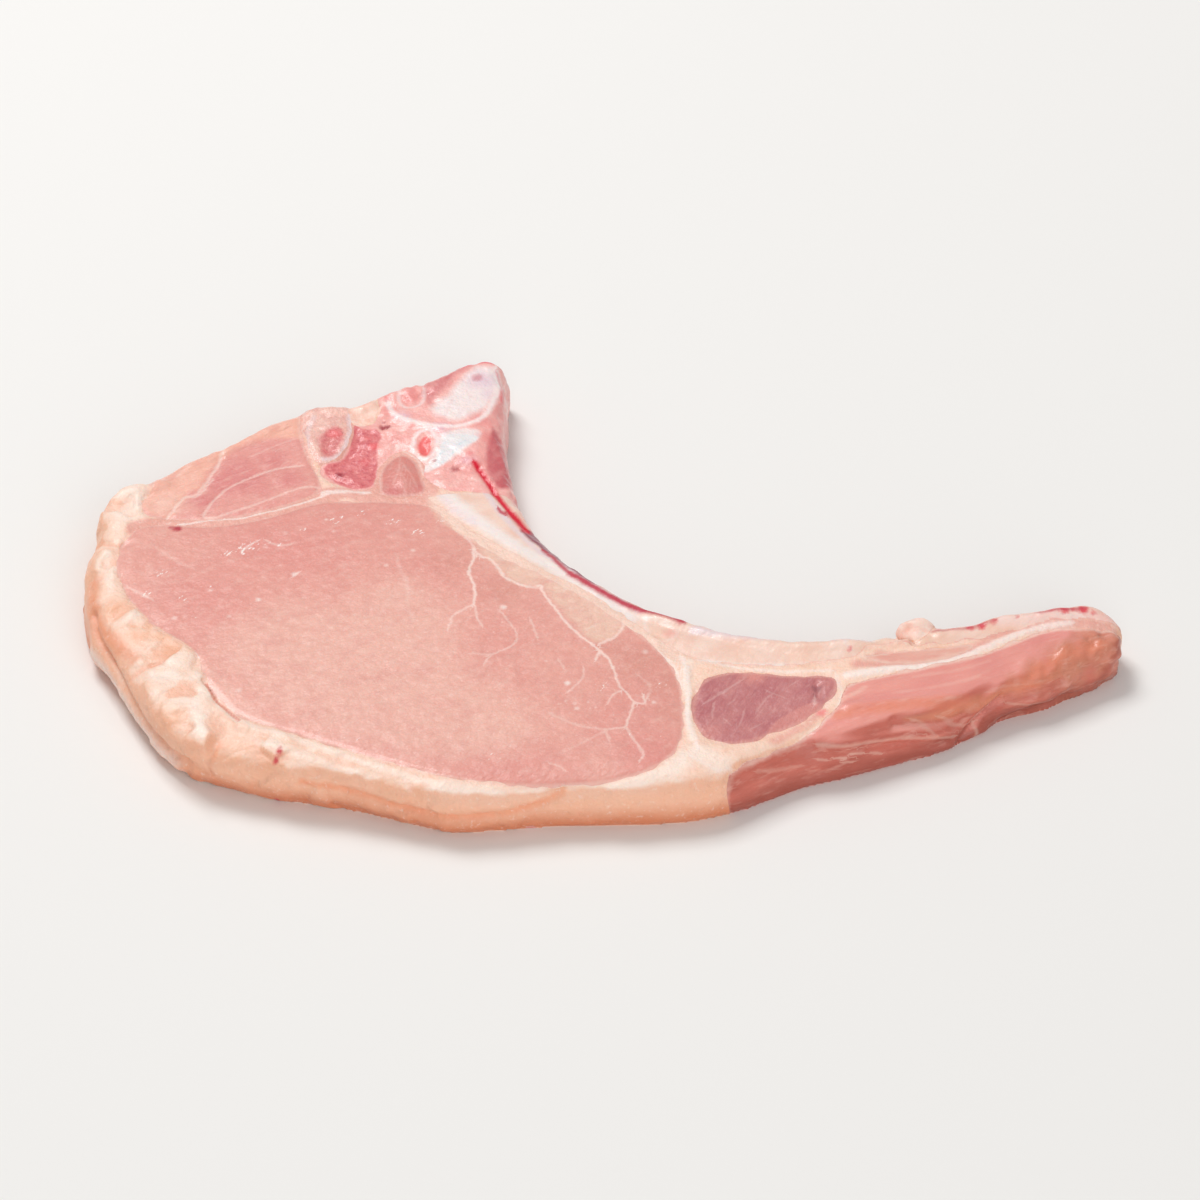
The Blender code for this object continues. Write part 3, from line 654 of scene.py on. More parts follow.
def tissue(name, base, layers, bumps, lines=(), roughness=0.4, glow=0.15, coat=0.4):
    """A moist tissue: a base colour, layers and lines of colour over it, fine bumps, a thin wet coat.

    A layer is its colour, what it follows, where it starts, where it is full, and how far it covers.
    It follows a painted value by name, or lumps as their size in millimetres, turn and stretch, or
    both, the lumps then breaking up the painted edge. A line is its colour, the name it was painted
    under, how much it wanders, and how far it covers. A bump is its size, turn, stretch and depth.
    """
    material = bpy.data.materials.new(name)
    material.use_nodes = True
    shader = material.node_tree.nodes["Principled BSDF"]
    place = add_node(material, "ShaderNodeTexCoord", {}, {}, "Object")
    tone = linear(base)
    for colour, follows, start, full, cover in layers:
        painted = [part for part in follows if isinstance(part, str)]
        noisy = [part for part in follows if not isinstance(part, str)]
        if noisy:
            size, turn, stretch = noisy[0][:3]
            drawn = add_node(material, "ShaderNodeMapping", {"vector_type": "TEXTURE"},
                             {"Vector": place, "Rotation": (0, 0, turn), "Scale": (stretch, 1, 1)})
            value = add_node(material, "ShaderNodeTexNoise", {},
                             {"Vector": drawn, "Scale": 1 / (size * MM), "Detail": NOISE_DETAIL}, "Fac")
        if painted:
            mask = add_node(material, "ShaderNodeAttribute", {"attribute_name": painted[0]}, {}, "Fac")
        if painted and noisy:
            centred = add_node(material, "ShaderNodeMath", {"operation": "SUBTRACT"}, {0: value, 1: 0.5})
            value = add_node(material, "ShaderNodeMath", {"operation": "MULTIPLY_ADD"},
                             {0: centred, 1: noisy[0][3], 2: mask})
        elif painted:
            value = mask
        share = add_node(material, "ShaderNodeMapRange", {},
                         {"Value": value, "From Min": start, "From Max": full, "To Max": cover})
        tone = add_node(material, "ShaderNodeMix", {"data_type": "RGBA"},
                        {0: share, 6: tone, 7: linear(colour)}, 2)
    for colour, painted, wander, cover in lines:
        offset = add_node(material, "ShaderNodeAttribute", {"attribute_name": painted}, {}, "Fac")
        strength = add_node(material, "ShaderNodeAttribute",
                            {"attribute_name": painted + "_strength"}, {}, "Fac")
        drift = add_node(material, "ShaderNodeTexNoise", {},
                         {"Vector": place, "Scale": 1 / (LINE_WANDER_SIZE * MM),
                          "Detail": NOISE_DETAIL}, "Fac")
        centred = add_node(material, "ShaderNodeMath", {"operation": "SUBTRACT"}, {0: drift, 1: 0.5})
        moved = add_node(material, "ShaderNodeMath", {"operation": "MULTIPLY_ADD"},
                         {0: centred, 1: wander, 2: offset})
        gap = add_node(material, "ShaderNodeMath", {"operation": "ABSOLUTE"}, {0: moved})
        core = add_node(material, "ShaderNodeMapRange", {},
                        {"Value": gap, "From Min": LINE_CORE, "From Max": LINE_EDGE,
                         "To Min": cover, "To Max": 0})
        share = add_node(material, "ShaderNodeMath", {"operation": "MULTIPLY"}, {0: core, 1: strength})
        tone = add_node(material, "ShaderNodeMix", {"data_type": "RGBA"},
                        {0: share, 6: tone, 7: linear(colour)}, 2)
    material.node_tree.links.new(tone, shader.inputs["Base Color"])
    height = 0
    for size, turn, stretch, depth in bumps:
        drawn = add_node(material, "ShaderNodeMapping", {"vector_type": "TEXTURE"},
                         {"Vector": place, "Rotation": (0, 0, turn), "Scale": (stretch, 1, 1)})
        grain = add_node(material, "ShaderNodeTexNoise", {},
                         {"Vector": drawn, "Scale": 1 / (size * MM), "Detail": NOISE_DETAIL}, "Fac")
        height = add_node(material, "ShaderNodeMath", {"operation": "MULTIPLY_ADD"},
                          {0: grain, 1: depth, 2: height})
    normal = add_node(material, "ShaderNodeBump", {}, {"Distance": MM, "Height": height})
    material.node_tree.links.new(normal, shader.inputs["Normal"])
    own = {"Roughness": roughness, "Subsurface Weight": glow, "Coat Weight": coat}
    for socket, value in (SHINE | own).items():
        shader.inputs[socket].default_value = value
    return material


# Raw loin: bundles of fibre about a millimetre thick end in the cut face as faint cells, which the
# eye reads as a soft grain; clouds of deeper pink lie under it. Its small wet glints are painted in:
# white specks, a white line along the fat's lip and part of the pale streaks; a painted sheen
# lightens its middle.
eye = cut_piece("eye_of_loin", EYE_OUTLINE)
eye_places = plan_points(eye.data)
paint_lines(eye, "vein", EYE_VEINS)
paint_lines(eye, "lip", EYE_LIP_HIGHLIGHT)
for name, rows in (("film", EYE_FILM), ("pale", EYE_PALE_SHEEN), ("flange", EYE_FLANGE)):
    paint(eye, name, patches(eye_places, rows))
for name, rows in (("fleck", EYE_FLECKS_AND_GLINTS), ("blush", EYE_BLUSH), ("dusk", EYE_DUSK),
                   ("blood", EYE_BLOOD), ("wet", EYE_PAINTED_GLINTS)):
    paint(eye, name, spots(eye_places, rows))
paint(eye, "border", border_share(eye_places, EYE_OUTLINE))
finish_piece(eye, "eye_muscle", tissue(
    "raw_loin", "#EBAA9C",
    (
        ("#E69E92", ((13, 0, 1),), 0.36, 0.68, 0.8),
        ("#E39188", ("blush",), 0, 1, 0.8),
        # painted sheen: the lighter middle
        ("#F0BAAA", ("pale",), 0, 1, 0.75),
        ("#D89182", ("dusk",), 0, 1, 0.7),
        ("#F3C0B0", ("flange", (2, 0, 1, 0.4)), 0.1, 1, 0.6),
        ("#F0C9B4", ("film", (3, 0, 1, 0.9)), 0.15, 0.95, 0.85),
        ("#F9E4DA", ("film", (2.2, 0.7, 2, 2.2)), 1.15, 1.6, 0.7),
        ("#DE9489", ((3.4, 0.2, 1.5),), 0.5, 0.7, 0.35),
        # pale diagonal streaks: knife drags, partly painted glints along them
        ("#F4C8BB", ((1.4, STREAK_TURN, 2),), 0.5, 0.8, 0.35),
        ("#DB948A", ((2.2, STREAK_TURN, 1.6),), 0.5, 0.8, 0.35),
        ("#F7D3C8", ((0.6, 0, 1),), 0.62, 0.76, 0.35),
        # painted glints of the wet surface
        ("#FFF0EA", ("wet", (0.55, STREAK_TURN + 0.3, 2, 1.6)), 1.0, 1.12, 0.85),
        ("#F2C3B5", ("border", (1.2, 0, 1, 0.6)), 0.35, 1, 0.6),
        # white flecks of fat and painted glints
        ("#FBE3DA", ("fleck", (1.0, 0, 1, 0.35)), 0.25, 0.85, 0.9),
        ("#BE404B", ("blood", (0.8, 0, 1, 0.6)), 0.4, 0.9, 1),
    ),
    ((1.0, STREAK_TURN, 2, 0.24), (2.8, 0, 1, 0.35)),
    # white veins, then the painted highlights along the lip
    (("#FBDDD2", "vein", 3.0, 0.8), ("#FFF3EC", "lip", 1.6, 0.85))))

# Upper muscle
# The smaller muscle above the eye, a deeper pink, crossed by thin pale skins between its bundles
# and pale where fat covers its left end.

UPPER_SKINS = (
    (0.9, 0.35, ((-79.4, 18.1), (-76.2, 24), (-74, 24.9), (-70.5, 32.9), (-68.7, 39), (-63.2, 43.4),
                 (-55.7, 47.4))),
    (0.7, 0.3, ((-76.2, 24), (-73.8, 24.2), (-71.2, 29))),
    (0.8, 0.3, ((-72.7, 18.9), (-70.3, 23.9), (-66.7, 27.8), (-60.5, 31.7), (-55, 33.1))),
    (0.7, 0.3, ((-72.7, 18.4), (-70.8, 17.9), (-62.9, 21.7), (-58, 24.6), (-54.3, 26.5), (-51.8, 26.5))),
    (0.4, 0.25, ((-64, 36), (-59, 39.4), (-55.6, 41))),
    (0.4, 0.25, ((-78, 30), (-74, 35.6), (-68, 42))),
)
UPPER_PEACH = (
    (1, 1.6, ((-79, 18), (-76, 25), (-73, 27), (-70.5, 34), (-66, 39), (-60, 41.6), (-53, 42.4),
              (-54, 58), (-84, 42), (-86, 24))),
)
UPPER_PALE = (
    (-80, 22, 5, 0.9), (-76, 30, 4, 0.5), (-60, 46, 5, 0.4), (-72, 17, 3, 0.5), (-64, 19.6, 2.4, 0.4),
)
UPPER_DEEP = (
    (-72.6, 22.6, 2.4, 0.9), (-66, 30, 5.5, 1), (-60, 34, 4, 0.8), (-69, 28, 4, 0.9), (-57, 29, 4, 0.7),
    (-62, 25.6, 3, 0.5),
)
# Where the upper muscle's painted glints lie: small white specks for light on the wet surface.
UPPER_PAINTED_GLINTS = (
    (-70, 30, 4, 0.8), (-66, 22, 4, 0.7), (-60, 38, 4, 0.8), (-78, 20, 3, 0.6), (-66, 43, 4, 0.7),
)
UPPER_TURN = 0.55


def side_share(piece):
    """How far each vertex's surface faces sideways, from 0 on the cut face to 1 on the wall."""
    facing = facings(piece.data)
    return fade(numpy.hypot(facing[:, 0], facing[:, 1]), 0.45, 0.85)


# Raw cap muscle: longer bundles than the eye's, cut slantwise, so the grain runs in streaks.
upper = cut_piece("upper_loin", UPPER_OUTLINE)
upper_places = plan_points(upper.data)
paint_lines(upper, "skin", UPPER_SKINS)
paint(upper, "peach", patches(upper_places, UPPER_PEACH))
paint(upper, "side", side_share(upper))
for name, rows in (("pale", UPPER_PALE), ("deep", UPPER_DEEP), ("wet", UPPER_PAINTED_GLINTS)):
    paint(upper, name, spots(upper_places, rows))
paint(upper, "border", border_share(upper_places, UPPER_OUTLINE))
finish_piece(upper, "upper_muscle", tissue(
    "raw_cap_muscle", "#EAA398",
    (
        ("#E4958E", ((6, UPPER_TURN, 2.5),), 0.4, 0.66, 0.6),
        ("#F7B9A4", ("peach", (3, UPPER_TURN, 3, 0.5)), 0.2, 0.8, 0.9),
        ("#DE8683", ("deep", (3, UPPER_TURN, 3, 0.5)), 0.2, 0.8, 0.8),
        ("#F5C3B2", ("pale", (3, 0, 1, 0.4)), 0.2, 0.9, 0.8),
        ("#D97F77", ("side", (4, 0, 1, 1.8)), 0.9, 1.35, 0.7),
        ("#F7CDBE", ("side", (2.6, 0, 1, 1.8)), 1.05, 1.4, 0.7),
        ("#F4C2B4", ((1.0, UPPER_TURN, 3.5),), 0.55, 0.8, 0.5),
        ("#D98781", ((1.5, UPPER_TURN, 3),), 0.55, 0.76, 0.35),
        # painted glints of the wet surface
        ("#FFEFE8", ("wet", (0.5, UPPER_TURN, 2, 1.6)), 1.02, 1.18, 0.8),
        ("#F1BFB1", ("border", (1.2, 0, 1, 0.6)), 0.35, 1, 0.7),
    ),
    ((0.8, UPPER_TURN, 3, 0.3), (2.8, 0, 1, 0.3)),
    (("#FBDDD1", "skin", 2.4, 0.6),)))

# Dark muscle
# A small oval of harder worked muscle between the eye and the tail: dusky purple, with fine pale
# threads, a red corner at its top, and a notch at its right darkened by painted shade, with a painted
# glint.

DARK_ROSE = ((27, -29.6, 3, 1), (36, -42, 4, 0.7), (40, -32, 2.4, 0.5), (19, -46, 2.5, 0.5))
DARK_THREADS = (
    (0.6, 0.25, ((20.7, -35.1), (22.8, -33.4), (24.8, -31.4))),
    (0.5, 0.22, ((19.7, -37.9), (19.3, -41.6))), (0.6, 0.25, ((18, -37.8), (20, -36), (22.3, -34.2))),
    (0.5, 0.22, ((25.1, -39.9), (24.3, -43.6))),
    (0.5, 0.22, ((27.4, -39.9), (28.6, -37.4), (30, -35.3))),
    (0.4, 0.22, ((32.4, -36.3), (29.4, -34.3))), (0.4, 0.2, ((22.4, -38), (23.6, -36.6))),
    (0.4, 0.2, ((21.6, -42.4), (22.6, -44))), (0.4, 0.2, ((33.6, -33), (35, -31.6))),
    (0.4, 0.2, ((26.2, -45), (28, -43.6))),
)
# Painted shade in the recess at the right of the dark muscle.
DARK_NOTCH_SHADE = ((38.3, -33.6, 1.3, 0.9), (38, -35.6, 1.0, 0.6))
DARK_GLINT = ((1, 0.35, ((37.9, -36.4), (37.7, -38.2))),)
DARK_FLAP = (
    (1, 0.5, ((28.6, -47.6), (30.6, -43), (34, -40), (38, -37.6), (38.8, -40), (36, -44), (32, -47.6))),
)

# Raw dark muscle: more blood pigment, so the pink turns to mauve and the threads stand out.
dark = cut_piece("dark_muscle_cut", DARK_OUTLINE)
dark_places = plan_points(dark.data)
paint(dark, "rose", spots(dark_places, DARK_ROSE))
# The pale threads' lines also carry one painted glint, at the notch.
paint_lines(dark, "thread", DARK_THREADS + DARK_GLINT)
paint(dark, "notch", spots(dark_places, DARK_NOTCH_SHADE))
paint(dark, "flap", patches(dark_places, DARK_FLAP))
paint(dark, "border", border_share(dark_places, DARK_OUTLINE, 1.2))
finish_piece(dark, "dark_muscle", tissue(
    "raw_dark_muscle", "#CB8280",
    (
        ("#BC6C70", ((5, 1.0, 1.6),), 0.4, 0.64, 0.8),
        ("#E4958A", ("rose", (2, 0, 1, 0.5)), 0.2, 0.9, 0.8),
        ("#D99C97", ((0.9, 1.0, 3),), 0.55, 0.8, 0.6),
        ("#AF5F66", ((1.3, 1.0, 2),), 0.56, 0.76, 0.4),
        ("#D98D86", ("flap",), 0.2, 0.8, 0.85),
        ("#E2A297", ("border", (1.4, 0, 1, 1.0)), 0.3, 1.1, 0.85),
        # painted shade in the notch
        ("#7E3A48", ("notch", (1.2, 0, 1, 0.5)), 0.35, 1.1, 0.8),
    ),
    ((0.9, 1.0, 2.4, 0.3), (2.4, 0, 1, 0.35)),
    (("#F3CFC8", "thread", 2.6, 0.4),), roughness=0.42))

# Flank
# The tail of belly muscle that tapers away to the right: salmon pink with long fibres on the cut
# face, an orange lower edge, and a redder outer side under torn white skins.

FLANK_EDGE = (
    (0.9, 1.8, ((42, -41.6), (52, -39), (62, -37.4), (70, -34.6), (76, -30.6), (84, -24.4), (90, -21))),
)
FLANK_PALE = (
    (0.9, 1.2, ((44.6, -32), (52, -29.4), (61, -27), (67, -24.6), (73, -21.4), (81, -17.4), (92, -16))),
    (0.7, 0.8, ((41.4, -38), (44.6, -36), (47, -34))),
    (0.7, 1.4, ((37.6, -43.6), (31, -49), (24, -53.6))),
    (0.5, 0.7, ((56, -31), (64, -29), (70, -26.4))),
    (0.5, 0.7, ((52, -35.6), (60, -33.6), (68, -30.6))),
)
FLANK_DEEP = ((70, -26.6, 5, 0.7), (78, -21.8, 5, 0.6), (84, -20, 3, 0.4), (60, -31, 5, 0.4))
FLANK_SKINS = (
    (0.5, 0.4, ((38, 8.2), (45, 7), (52, 6), (58, 4.6), (63, 2.6))),
    (0.5, 0.3, ((66, 3.2), (68, 4.4), (71, 6.6))), (0.6, 0.3, ((66.6, 2.6), (67.4, 1.4), (67, 0.6))),
    (0.4, 0.3, ((60, 7.2), (63, 5), (65, 3.6))), (0.4, 0.3, ((55, 8), (57.6, 6.4), (59.6, 4.6))),
    (0.6, 0.25, ((41, 5.2), (43, 4.8))), (0.6, 0.25, ((44, 5.4), (46.2, 4.8))),
    (0.6, 0.25, ((42.6, 4), (44.4, 3.6))), (0.5, 0.25, ((47.6, 4.4), (49.4, 3.8))),
    (0.5, 0.25, ((38, 5.6), (39.6, 5.2))), (0.4, 0.3, ((73, 5), (77, 3.6), (81, 2.6))),
    (0.3, 0.3, ((27, 7), (31, 5.6), (35, 5))),
)
FLANK_TAWNY = (
    (0.9, 1.2, ((54, 7.8), (60, 6.6), (65, 5.4), (72, 6), (80, 6.6), (88, 6.6), (88, 8.4), (78, 8.2),
                (70, 8), (60, 8.4), (54, 8.8))),
)
# Painted shadow on the wall, drawn as seen from the front: under the undercut, low down, and up the tip's
# end.
FLANK_UNDERCUT_SHADE = (
    (0.9, 2.2, ((70, 2), (76, 2.2), (84, 3))), (0.7, 1.6, ((56, 2.4), (62, 3))),
    (0.9, 1.4, ((90, 3), (93, 6), (94, 9))),
)
FLANK_FRINGE = (
    (84, -24.6, 5, 1), (90, -20.6, 5, 1.1), (94, -18, 4, 1), (78, -28, 3.4, 0.8), (74, -30.4, 3, 0.5),
)
FLANK_TURN = 0.46

# Raw flank: long bundles lie in the cut face; the side is a darker, duller red, deepened by painted
# shade, with more painted shade under the undercut and towards the floor.
flank = cut_piece("flank_tail", FLANK_OUTLINE)
flank_places = plan_points(flank.data)
flank_side = side_share(flank)
flank_front = flank_places[:, [0, 2]]
paint(flank, "side", flank_side)
# Painted shade: the side darker towards the floor.
paint(flank, "low", flank_side * fade(-flank_places[:, 2], -6, -1))
paint(flank, "edge", strokes(flank_places, FLANK_EDGE) * fade(flank_places[:, 2], 4, 7))
paint(flank, "pale", strokes(flank_places, FLANK_PALE) * fade(flank_places[:, 2], 4, 8))
paint(flank, "deep", spots(flank_places, FLANK_DEEP))
paint_lines(flank, "wall_skin", FLANK_SKINS, axes=(0, 2))
paint(flank, "tawny", flank_side * patches(flank_front, FLANK_TAWNY))
paint(flank, "fringe", spots(flank_places, FLANK_FRINGE))
paint(flank, "rust", flank_side * strokes(flank_front, FLANK_UNDERCUT_SHADE))
paint(flank, "border", border_share(flank_places, FLANK_OUTLINE, 1.5) * (1 - 0.4 * flank_side))
finish_piece(flank, "flank_muscle", tissue(
    "raw_flank", "#F0A295",
    (
        ("#E8928A", ((5, FLANK_TURN, 4),), 0.4, 0.66, 0.7),
        ("#DD8781", ("deep",), 0, 1, 0.7),
        ("#F6C3B3", ("pale", (1.6, FLANK_TURN, 3, 0.5)), 0.25, 0.9, 0.8),
        # the redder side: its own colour, deepened by painted shade
        ("#D07060", ("side",), 0.1, 0.9, 1),
        ("#B55A4B", ("side", (3, FLANK_TURN, 3, 1.4)), 0.85, 1.3, 0.8),
        ("#DE8D7C", ("side", (1.6, FLANK_TURN, 4, 1.6)), 1.05, 1.35, 0.5),
        ("#CB7F62", ("tawny", (3, 0, 1, 0.6)), 0.25, 0.85, 0.9),
        ("#D4876E", ("fringe", (2.2, 1.2, 4, 0.9)), 0.2, 0.9, 0.9),
        ("#B5674F", ("fringe", (1.4, 1.2, 4, 2.4)), 0.95, 1.5, 0.7),
        ("#EDBBA6", ("fringe", (1.1, 1.2, 5, 2.4)), 1.15, 1.6, 0.6),
        # painted shadow in the undercut and low on the wall
        ("#A9503F", ("rust", (3, 0, 1, 0.6)), 0.3, 1, 0.75),
        # painted shade, darker towards the floor
        ("#A04E40", ("low", (3, 0, 1, 0.4)), 0.3, 1, 0.7),
        ("#E98A6B", ("edge", (2, 0, 1, 0.7)), 0.25, 1.0, 0.7),
        ("#F5C3B3", ((1.1, FLANK_TURN, 5),), 0.57, 0.82, 0.45),
        ("#D07C72", ((1.7, FLANK_TURN, 5),), 0.55, 0.8, 0.3),
        ("#F6CFC0", ("border", (1.4, 0, 1, 0.6)), 0.3, 1, 0.75),
    ),
    ((1.0, FLANK_TURN, 5, 0.26), (3, 0, 1, 0.22)),
    (("#EBBFAE", "wall_skin", 2.0, 0.75),), roughness=0.38))

# Strip beside the rib
# A thin lens of greyish pink muscle under the end of the rib.

# Raw rib strip: the same muscle as the flank, seen through a dull skin.
strip = cut_piece("rib_strip", STRIP_OUTLINE)
paint(strip, "border", border_share(plan_points(strip.data), STRIP_OUTLINE, 1.2))
finish_piece(strip, "rib_muscle", tissue(
    "raw_rib_strip", "#ECAF9E",
    (
        ("#E5A193", ((2.6, 0.2, 4),), 0.42, 0.62, 0.7),
        ("#F6D2C4", ((1.0, 0.2, 5),), 0.56, 0.78, 0.5),
        ("#F2C6B6", ("border", (1.6, 0, 1, 1.2)), 0.2, 1, 0.9),
    ),
    ((0.9, 0.2, 4, 0.18),)))

# Round process
# The sawn end of the vertebra's side process: a glassy grey-pink rim of gristle round red marrow.

PROCESS_HEART = (
    (1, 1.2, ((-51.6, 40.2), (-51, 36), (-49, 35.4), (-47.4, 38.4), (-46.8, 42.4), (-48.4, 43.8),
              (-50.2, 42.6))),
)
PROCESS_RIM = (
    (0.9, 0.8, ((-50.6, 34.8), (-48.2, 35.6), (-46.6, 38.4), (-45.6, 43), (-45.8, 47.6))),
    (0.7, 0.8, ((-53.6, 38), (-53.6, 43), (-52.4, 47))),
)
PROCESS_RED = ((-48.6, 41.8, 1.5, 1), (-50.6, 37, 1, 0.5))
RIM_MARKS_END = 8.6
RIM_MARKS_FULL = 5
RIM_MARKS_RAG = 2
RIM_MARKS_RAG_SIZE = 3


def top_share(piece):
    """Full on the cut faces and fading down the wall, for marks that lie at the upper rim."""
    places = plan_points(piece.data)
    depth = RIM_MARKS_RAG * lumps(places, RIM_MARKS_RAG_SIZE) - places[:, 2]
    return 1 - side_share(piece) * fade(depth, -RIM_MARKS_END, -RIM_MARKS_FULL)


# Sawn gristle and marrow: the rim is smooth and milky, the marrow granular and blood red.
process = cut_piece("vertebra_process", PROCESS_OUTLINE)
process_places = plan_points(process.data)
paint(process, "marrow", patches(process_places, PROCESS_HEART))
paint(process, "rim", strokes(process_places, PROCESS_RIM) * top_share(process))
paint(process, "blood", spots(process_places, PROCESS_RED))
finish_piece(process, "process_bone", tissue(
    "sawn_process", "#F6C4B6",
    (
        ("#E5A89E", ((2.4, 0, 1),), 0.42, 0.64, 0.7),
        ("#F0D6D6", ("rim", (1.4, 0, 1, 0.4)), 0.3, 0.9, 0.85),
        ("#E08683", ("marrow", (1.4, 0, 1, 0.9)), 0.25, 0.85, 1),
        ("#CC5C66", ("marrow", (1.1, 0, 1, 2.5)), 0.9, 1.5, 0.7),
        ("#F6B4AC", ("marrow", (0.8, 0, 1, 3.4)), 1.3, 2.0, 0.7),
        ("#EC6E70", ("blood", (1, 0, 1, 0.5)), 0.2, 0.8, 0.8),
    ),
    ((0.7, 0, 1, 0.3), (1.8, 0, 1, 0.25)), roughness=0.36))

# Plug of fat
# A small cream plug of soft fat caught between the process and the chine.

PLUG_OUTLINE = smooth_path((
    (-45.6, 46.2), (-42, 45.2), (-40.8, 50), (-41.4, 57), (-46.4, 57),
), closed=True)
CREAM_LAYERS = (
    ("#F5BBA8", ((2.6, 0, 1),), 0.44, 0.68, 0.8),
    ("#FFEEE4", ((1.2, 0, 1),), 0.56, 0.76, 0.5),
)
CREAM_BUMPS = ((1.2, 0, 1, 0.25),)

# Soft fat: cream, with peach in its hollows, and slightly see-through at thin edges.
plug = cut_piece("fat_plug", PLUG_OUTLINE)
finish_piece(plug, "chine_fat", tissue(
    "cream_fat", "#FED5C4", CREAM_LAYERS, CREAM_BUMPS))

# Round muscle
# A small round of greyish pink muscle beside the marrow, redder at its foot, with pale threads.

DISC_THREADS = (
    (0.6, 0.25, ((-36.4, 35), (-36.6, 31), (-37.6, 27.6))),
    (0.6, 0.25, ((-36, 33), (-34.4, 29.6), (-33.4, 26.4))),
    (0.7, 0.25, ((-40, 32), (-40.2, 28), (-39.6, 25))),
    (0.5, 0.25, ((-36.4, 30.6), (-35.4, 27.4), (-35.6, 25))),
)
DISC_RED = ((-37.6, 25, 1.8, 0.9), (-33, 26, 1.6, 0.6), (-31.6, 24.6, 1, 0.9), (-38.6, 28, 1.4, 0.5))

# Raw round muscle: pale and grey where a skin covers it.
disc = cut_piece("round_muscle", DISC_OUTLINE)
disc_places = plan_points(disc.data)
paint_lines(disc, "thread", DISC_THREADS)
paint(disc, "red", spots(disc_places, DISC_RED))
paint(disc, "border", border_share(disc_places, DISC_OUTLINE, 1.1))
finish_piece(disc, "joint_disc", tissue(
    "raw_round_muscle", "#DD897F",
    (
        ("#D89087", ((2.5, 0, 1),), 0.42, 0.64, 0.8),
        ("#D2706D", ("red", (1.5, 0, 1, 0.5)), 0.2, 0.9, 0.8),
        ("#EDB8AC", ("border", (1.2, 0, 1, 0.8)), 0.3, 1, 0.8),
    ),
    ((0.9, 0, 1, 0.18),),
    (("#F3C6BB", "thread", 2.4, 0.4),)))

# Chine
# The split backbone, sawn through: a white lobe of gristle above, pink bone below it, red spongy
# marrow at the lower left, and a glassy blue-white facet where the rib joined.

CHINE_MARROW = (
    (1, 0.7, ((-45, 44.6), (-43.4, 43.6), (-41, 43.4), (-39.9, 41.4), (-40.8, 38.6), (-40.6, 35),
              (-41, 29.4), (-41.8, 27.4), (-44.2, 26.2), (-47.2, 27.6), (-49.8, 30.4), (-50.4, 33),
              (-47, 35.4), (-45.6, 39))),
)
CHINE_BRIGHT = (
    (-41.3, 38.6, 1.1, 1), (-42.4, 41, 1, 0.6), (-43, 34.6, 1.6, 0.5), (-23.4, 35, 0.9, 0.6),
    (-38.6, 52.4, 1.2, 0.6),
)
CHINE_TIP = (
    (1, 0.5, ((-24.4, 61.4), (-21.6, 62.6), (-18.4, 62.4))),
    (0.5, 0.3, ((-18, 60), (-17.2, 56), (-17.4, 52))),
)
# Dark red marks of blood; the two near x = -44 lie along a groove and are painted shadow.
CHINE_DARK = (
    (-47.6, 30.5, 1.1, 0.9), (-39.5, 44.4, 0.9, 1), (-38.6, 43.9, 0.7, 0.9), (-39.4, 46, 0.6, 0.7),
    (-26.2, 31, 1.2, 0.7), (-30, 33.6, 0.6, 0.8), (-44.3, 40.6, 0.8, 0.5), (-44.2, 42.4, 0.7, 0.5),
)
CHINE_ELLIPSE = ((1, 0.4, ((-33, 38.2), (-31.8, 40.6), (-30.6, 39.4), (-31, 36), (-32.4, 35.4))),)
CHINE_WHITE = (
    (1, 1.6, ((-30.4, 48.4), (-26.4, 44.8), (-21, 47.6), (-18, 55), (-18, 60), (-21.6, 61), (-25, 57),
              (-27.4, 52.4))),
    (0.9, 0.7, ((-28.8, 40.6), (-24, 42.6), (-21, 40.8), (-24.4, 36), (-30, 31), (-32.4, 31.6),
                (-29.6, 35.6))),
)
CHINE_RIMS = (
    (1, 0.6, ((-38.6, 51), (-37.6, 47.8), (-35.1, 45.4), (-29.5, 43.2), (-23.9, 43.6), (-20.1, 47.1),
              (-17.8, 56), (-18.2, 61))),
    (0.9, 0.5, ((-34, 37), (-33.4, 41), (-31, 42.4), (-29.6, 40), (-29.8, 36.6), (-31.4, 34.4),
                (-33.4, 34.8))),
    (0.6, 0.4, ((-36.4, 54.4), (-36.4, 51), (-34.2, 49.2), (-32, 51), (-31.8, 54.6))),
)
CHINE_LAVENDER = (
    (-21, 57, 3, 0.9), (-29, 42.6, 2, 0.7), (-35.6, 46.6, 1.6, 0.7), (-24, 33, 2, 0.5),
    (-19.6, 53, 2, 0.5),
)
CHINE_PINK = (
    (-34.2, 52.4, 2.0, 1), (-34.2, 54, 1.6, 0.8), (-38.4, 49, 1.6, 0.8), (-21, 45, 3, 0.7),
    (-37, 40.6, 3, 0.4), (-24.6, 31.6, 2, 0.6), (-20, 40, 2.4, 0.8), (-22, 32, 3, 0.7),
    (-17.6, 48, 3, 0.6),
)
CHINE_MAUVE = (
    (1, 0.7, ((-19, 43.4), (-17.1, 39.9), (-15, 34), (-14.8, 29), (-17.2, 25.6), (-19.6, 28),
              (-20.4, 33), (-19.9, 38))),
    (0.66, 1.2, ((-32, 55.6), (-27.5, 59.6), (-23.4, 63), (-22.8, 61.6), (-27, 56), (-30, 50.6),
                 (-31.4, 51))),
    (0.6, 0.6, ((-22.8, 58.6), (-21, 58.8), (-20.8, 57), (-22.6, 56.8))),
)
CHINE_FACET = (
    (1, 0.4, ((-27.8, 40.4), (-24, 40.6), (-21.4, 39.6), (-23.6, 37.4), (-26, 35.4), (-28, 32.8),
              (-30.4, 31.4), (-29, 36))),
)
VESSEL_BRIGHT = (
    (1, 0.7, ((-22.4, 32.4), (-21, 29.4), (-18.1, 22.7), (-16, 18.4))),
    (1, 1.4, ((-16, 18.4), (-14.6, 15.8), (-13.2, 13.2))),
)

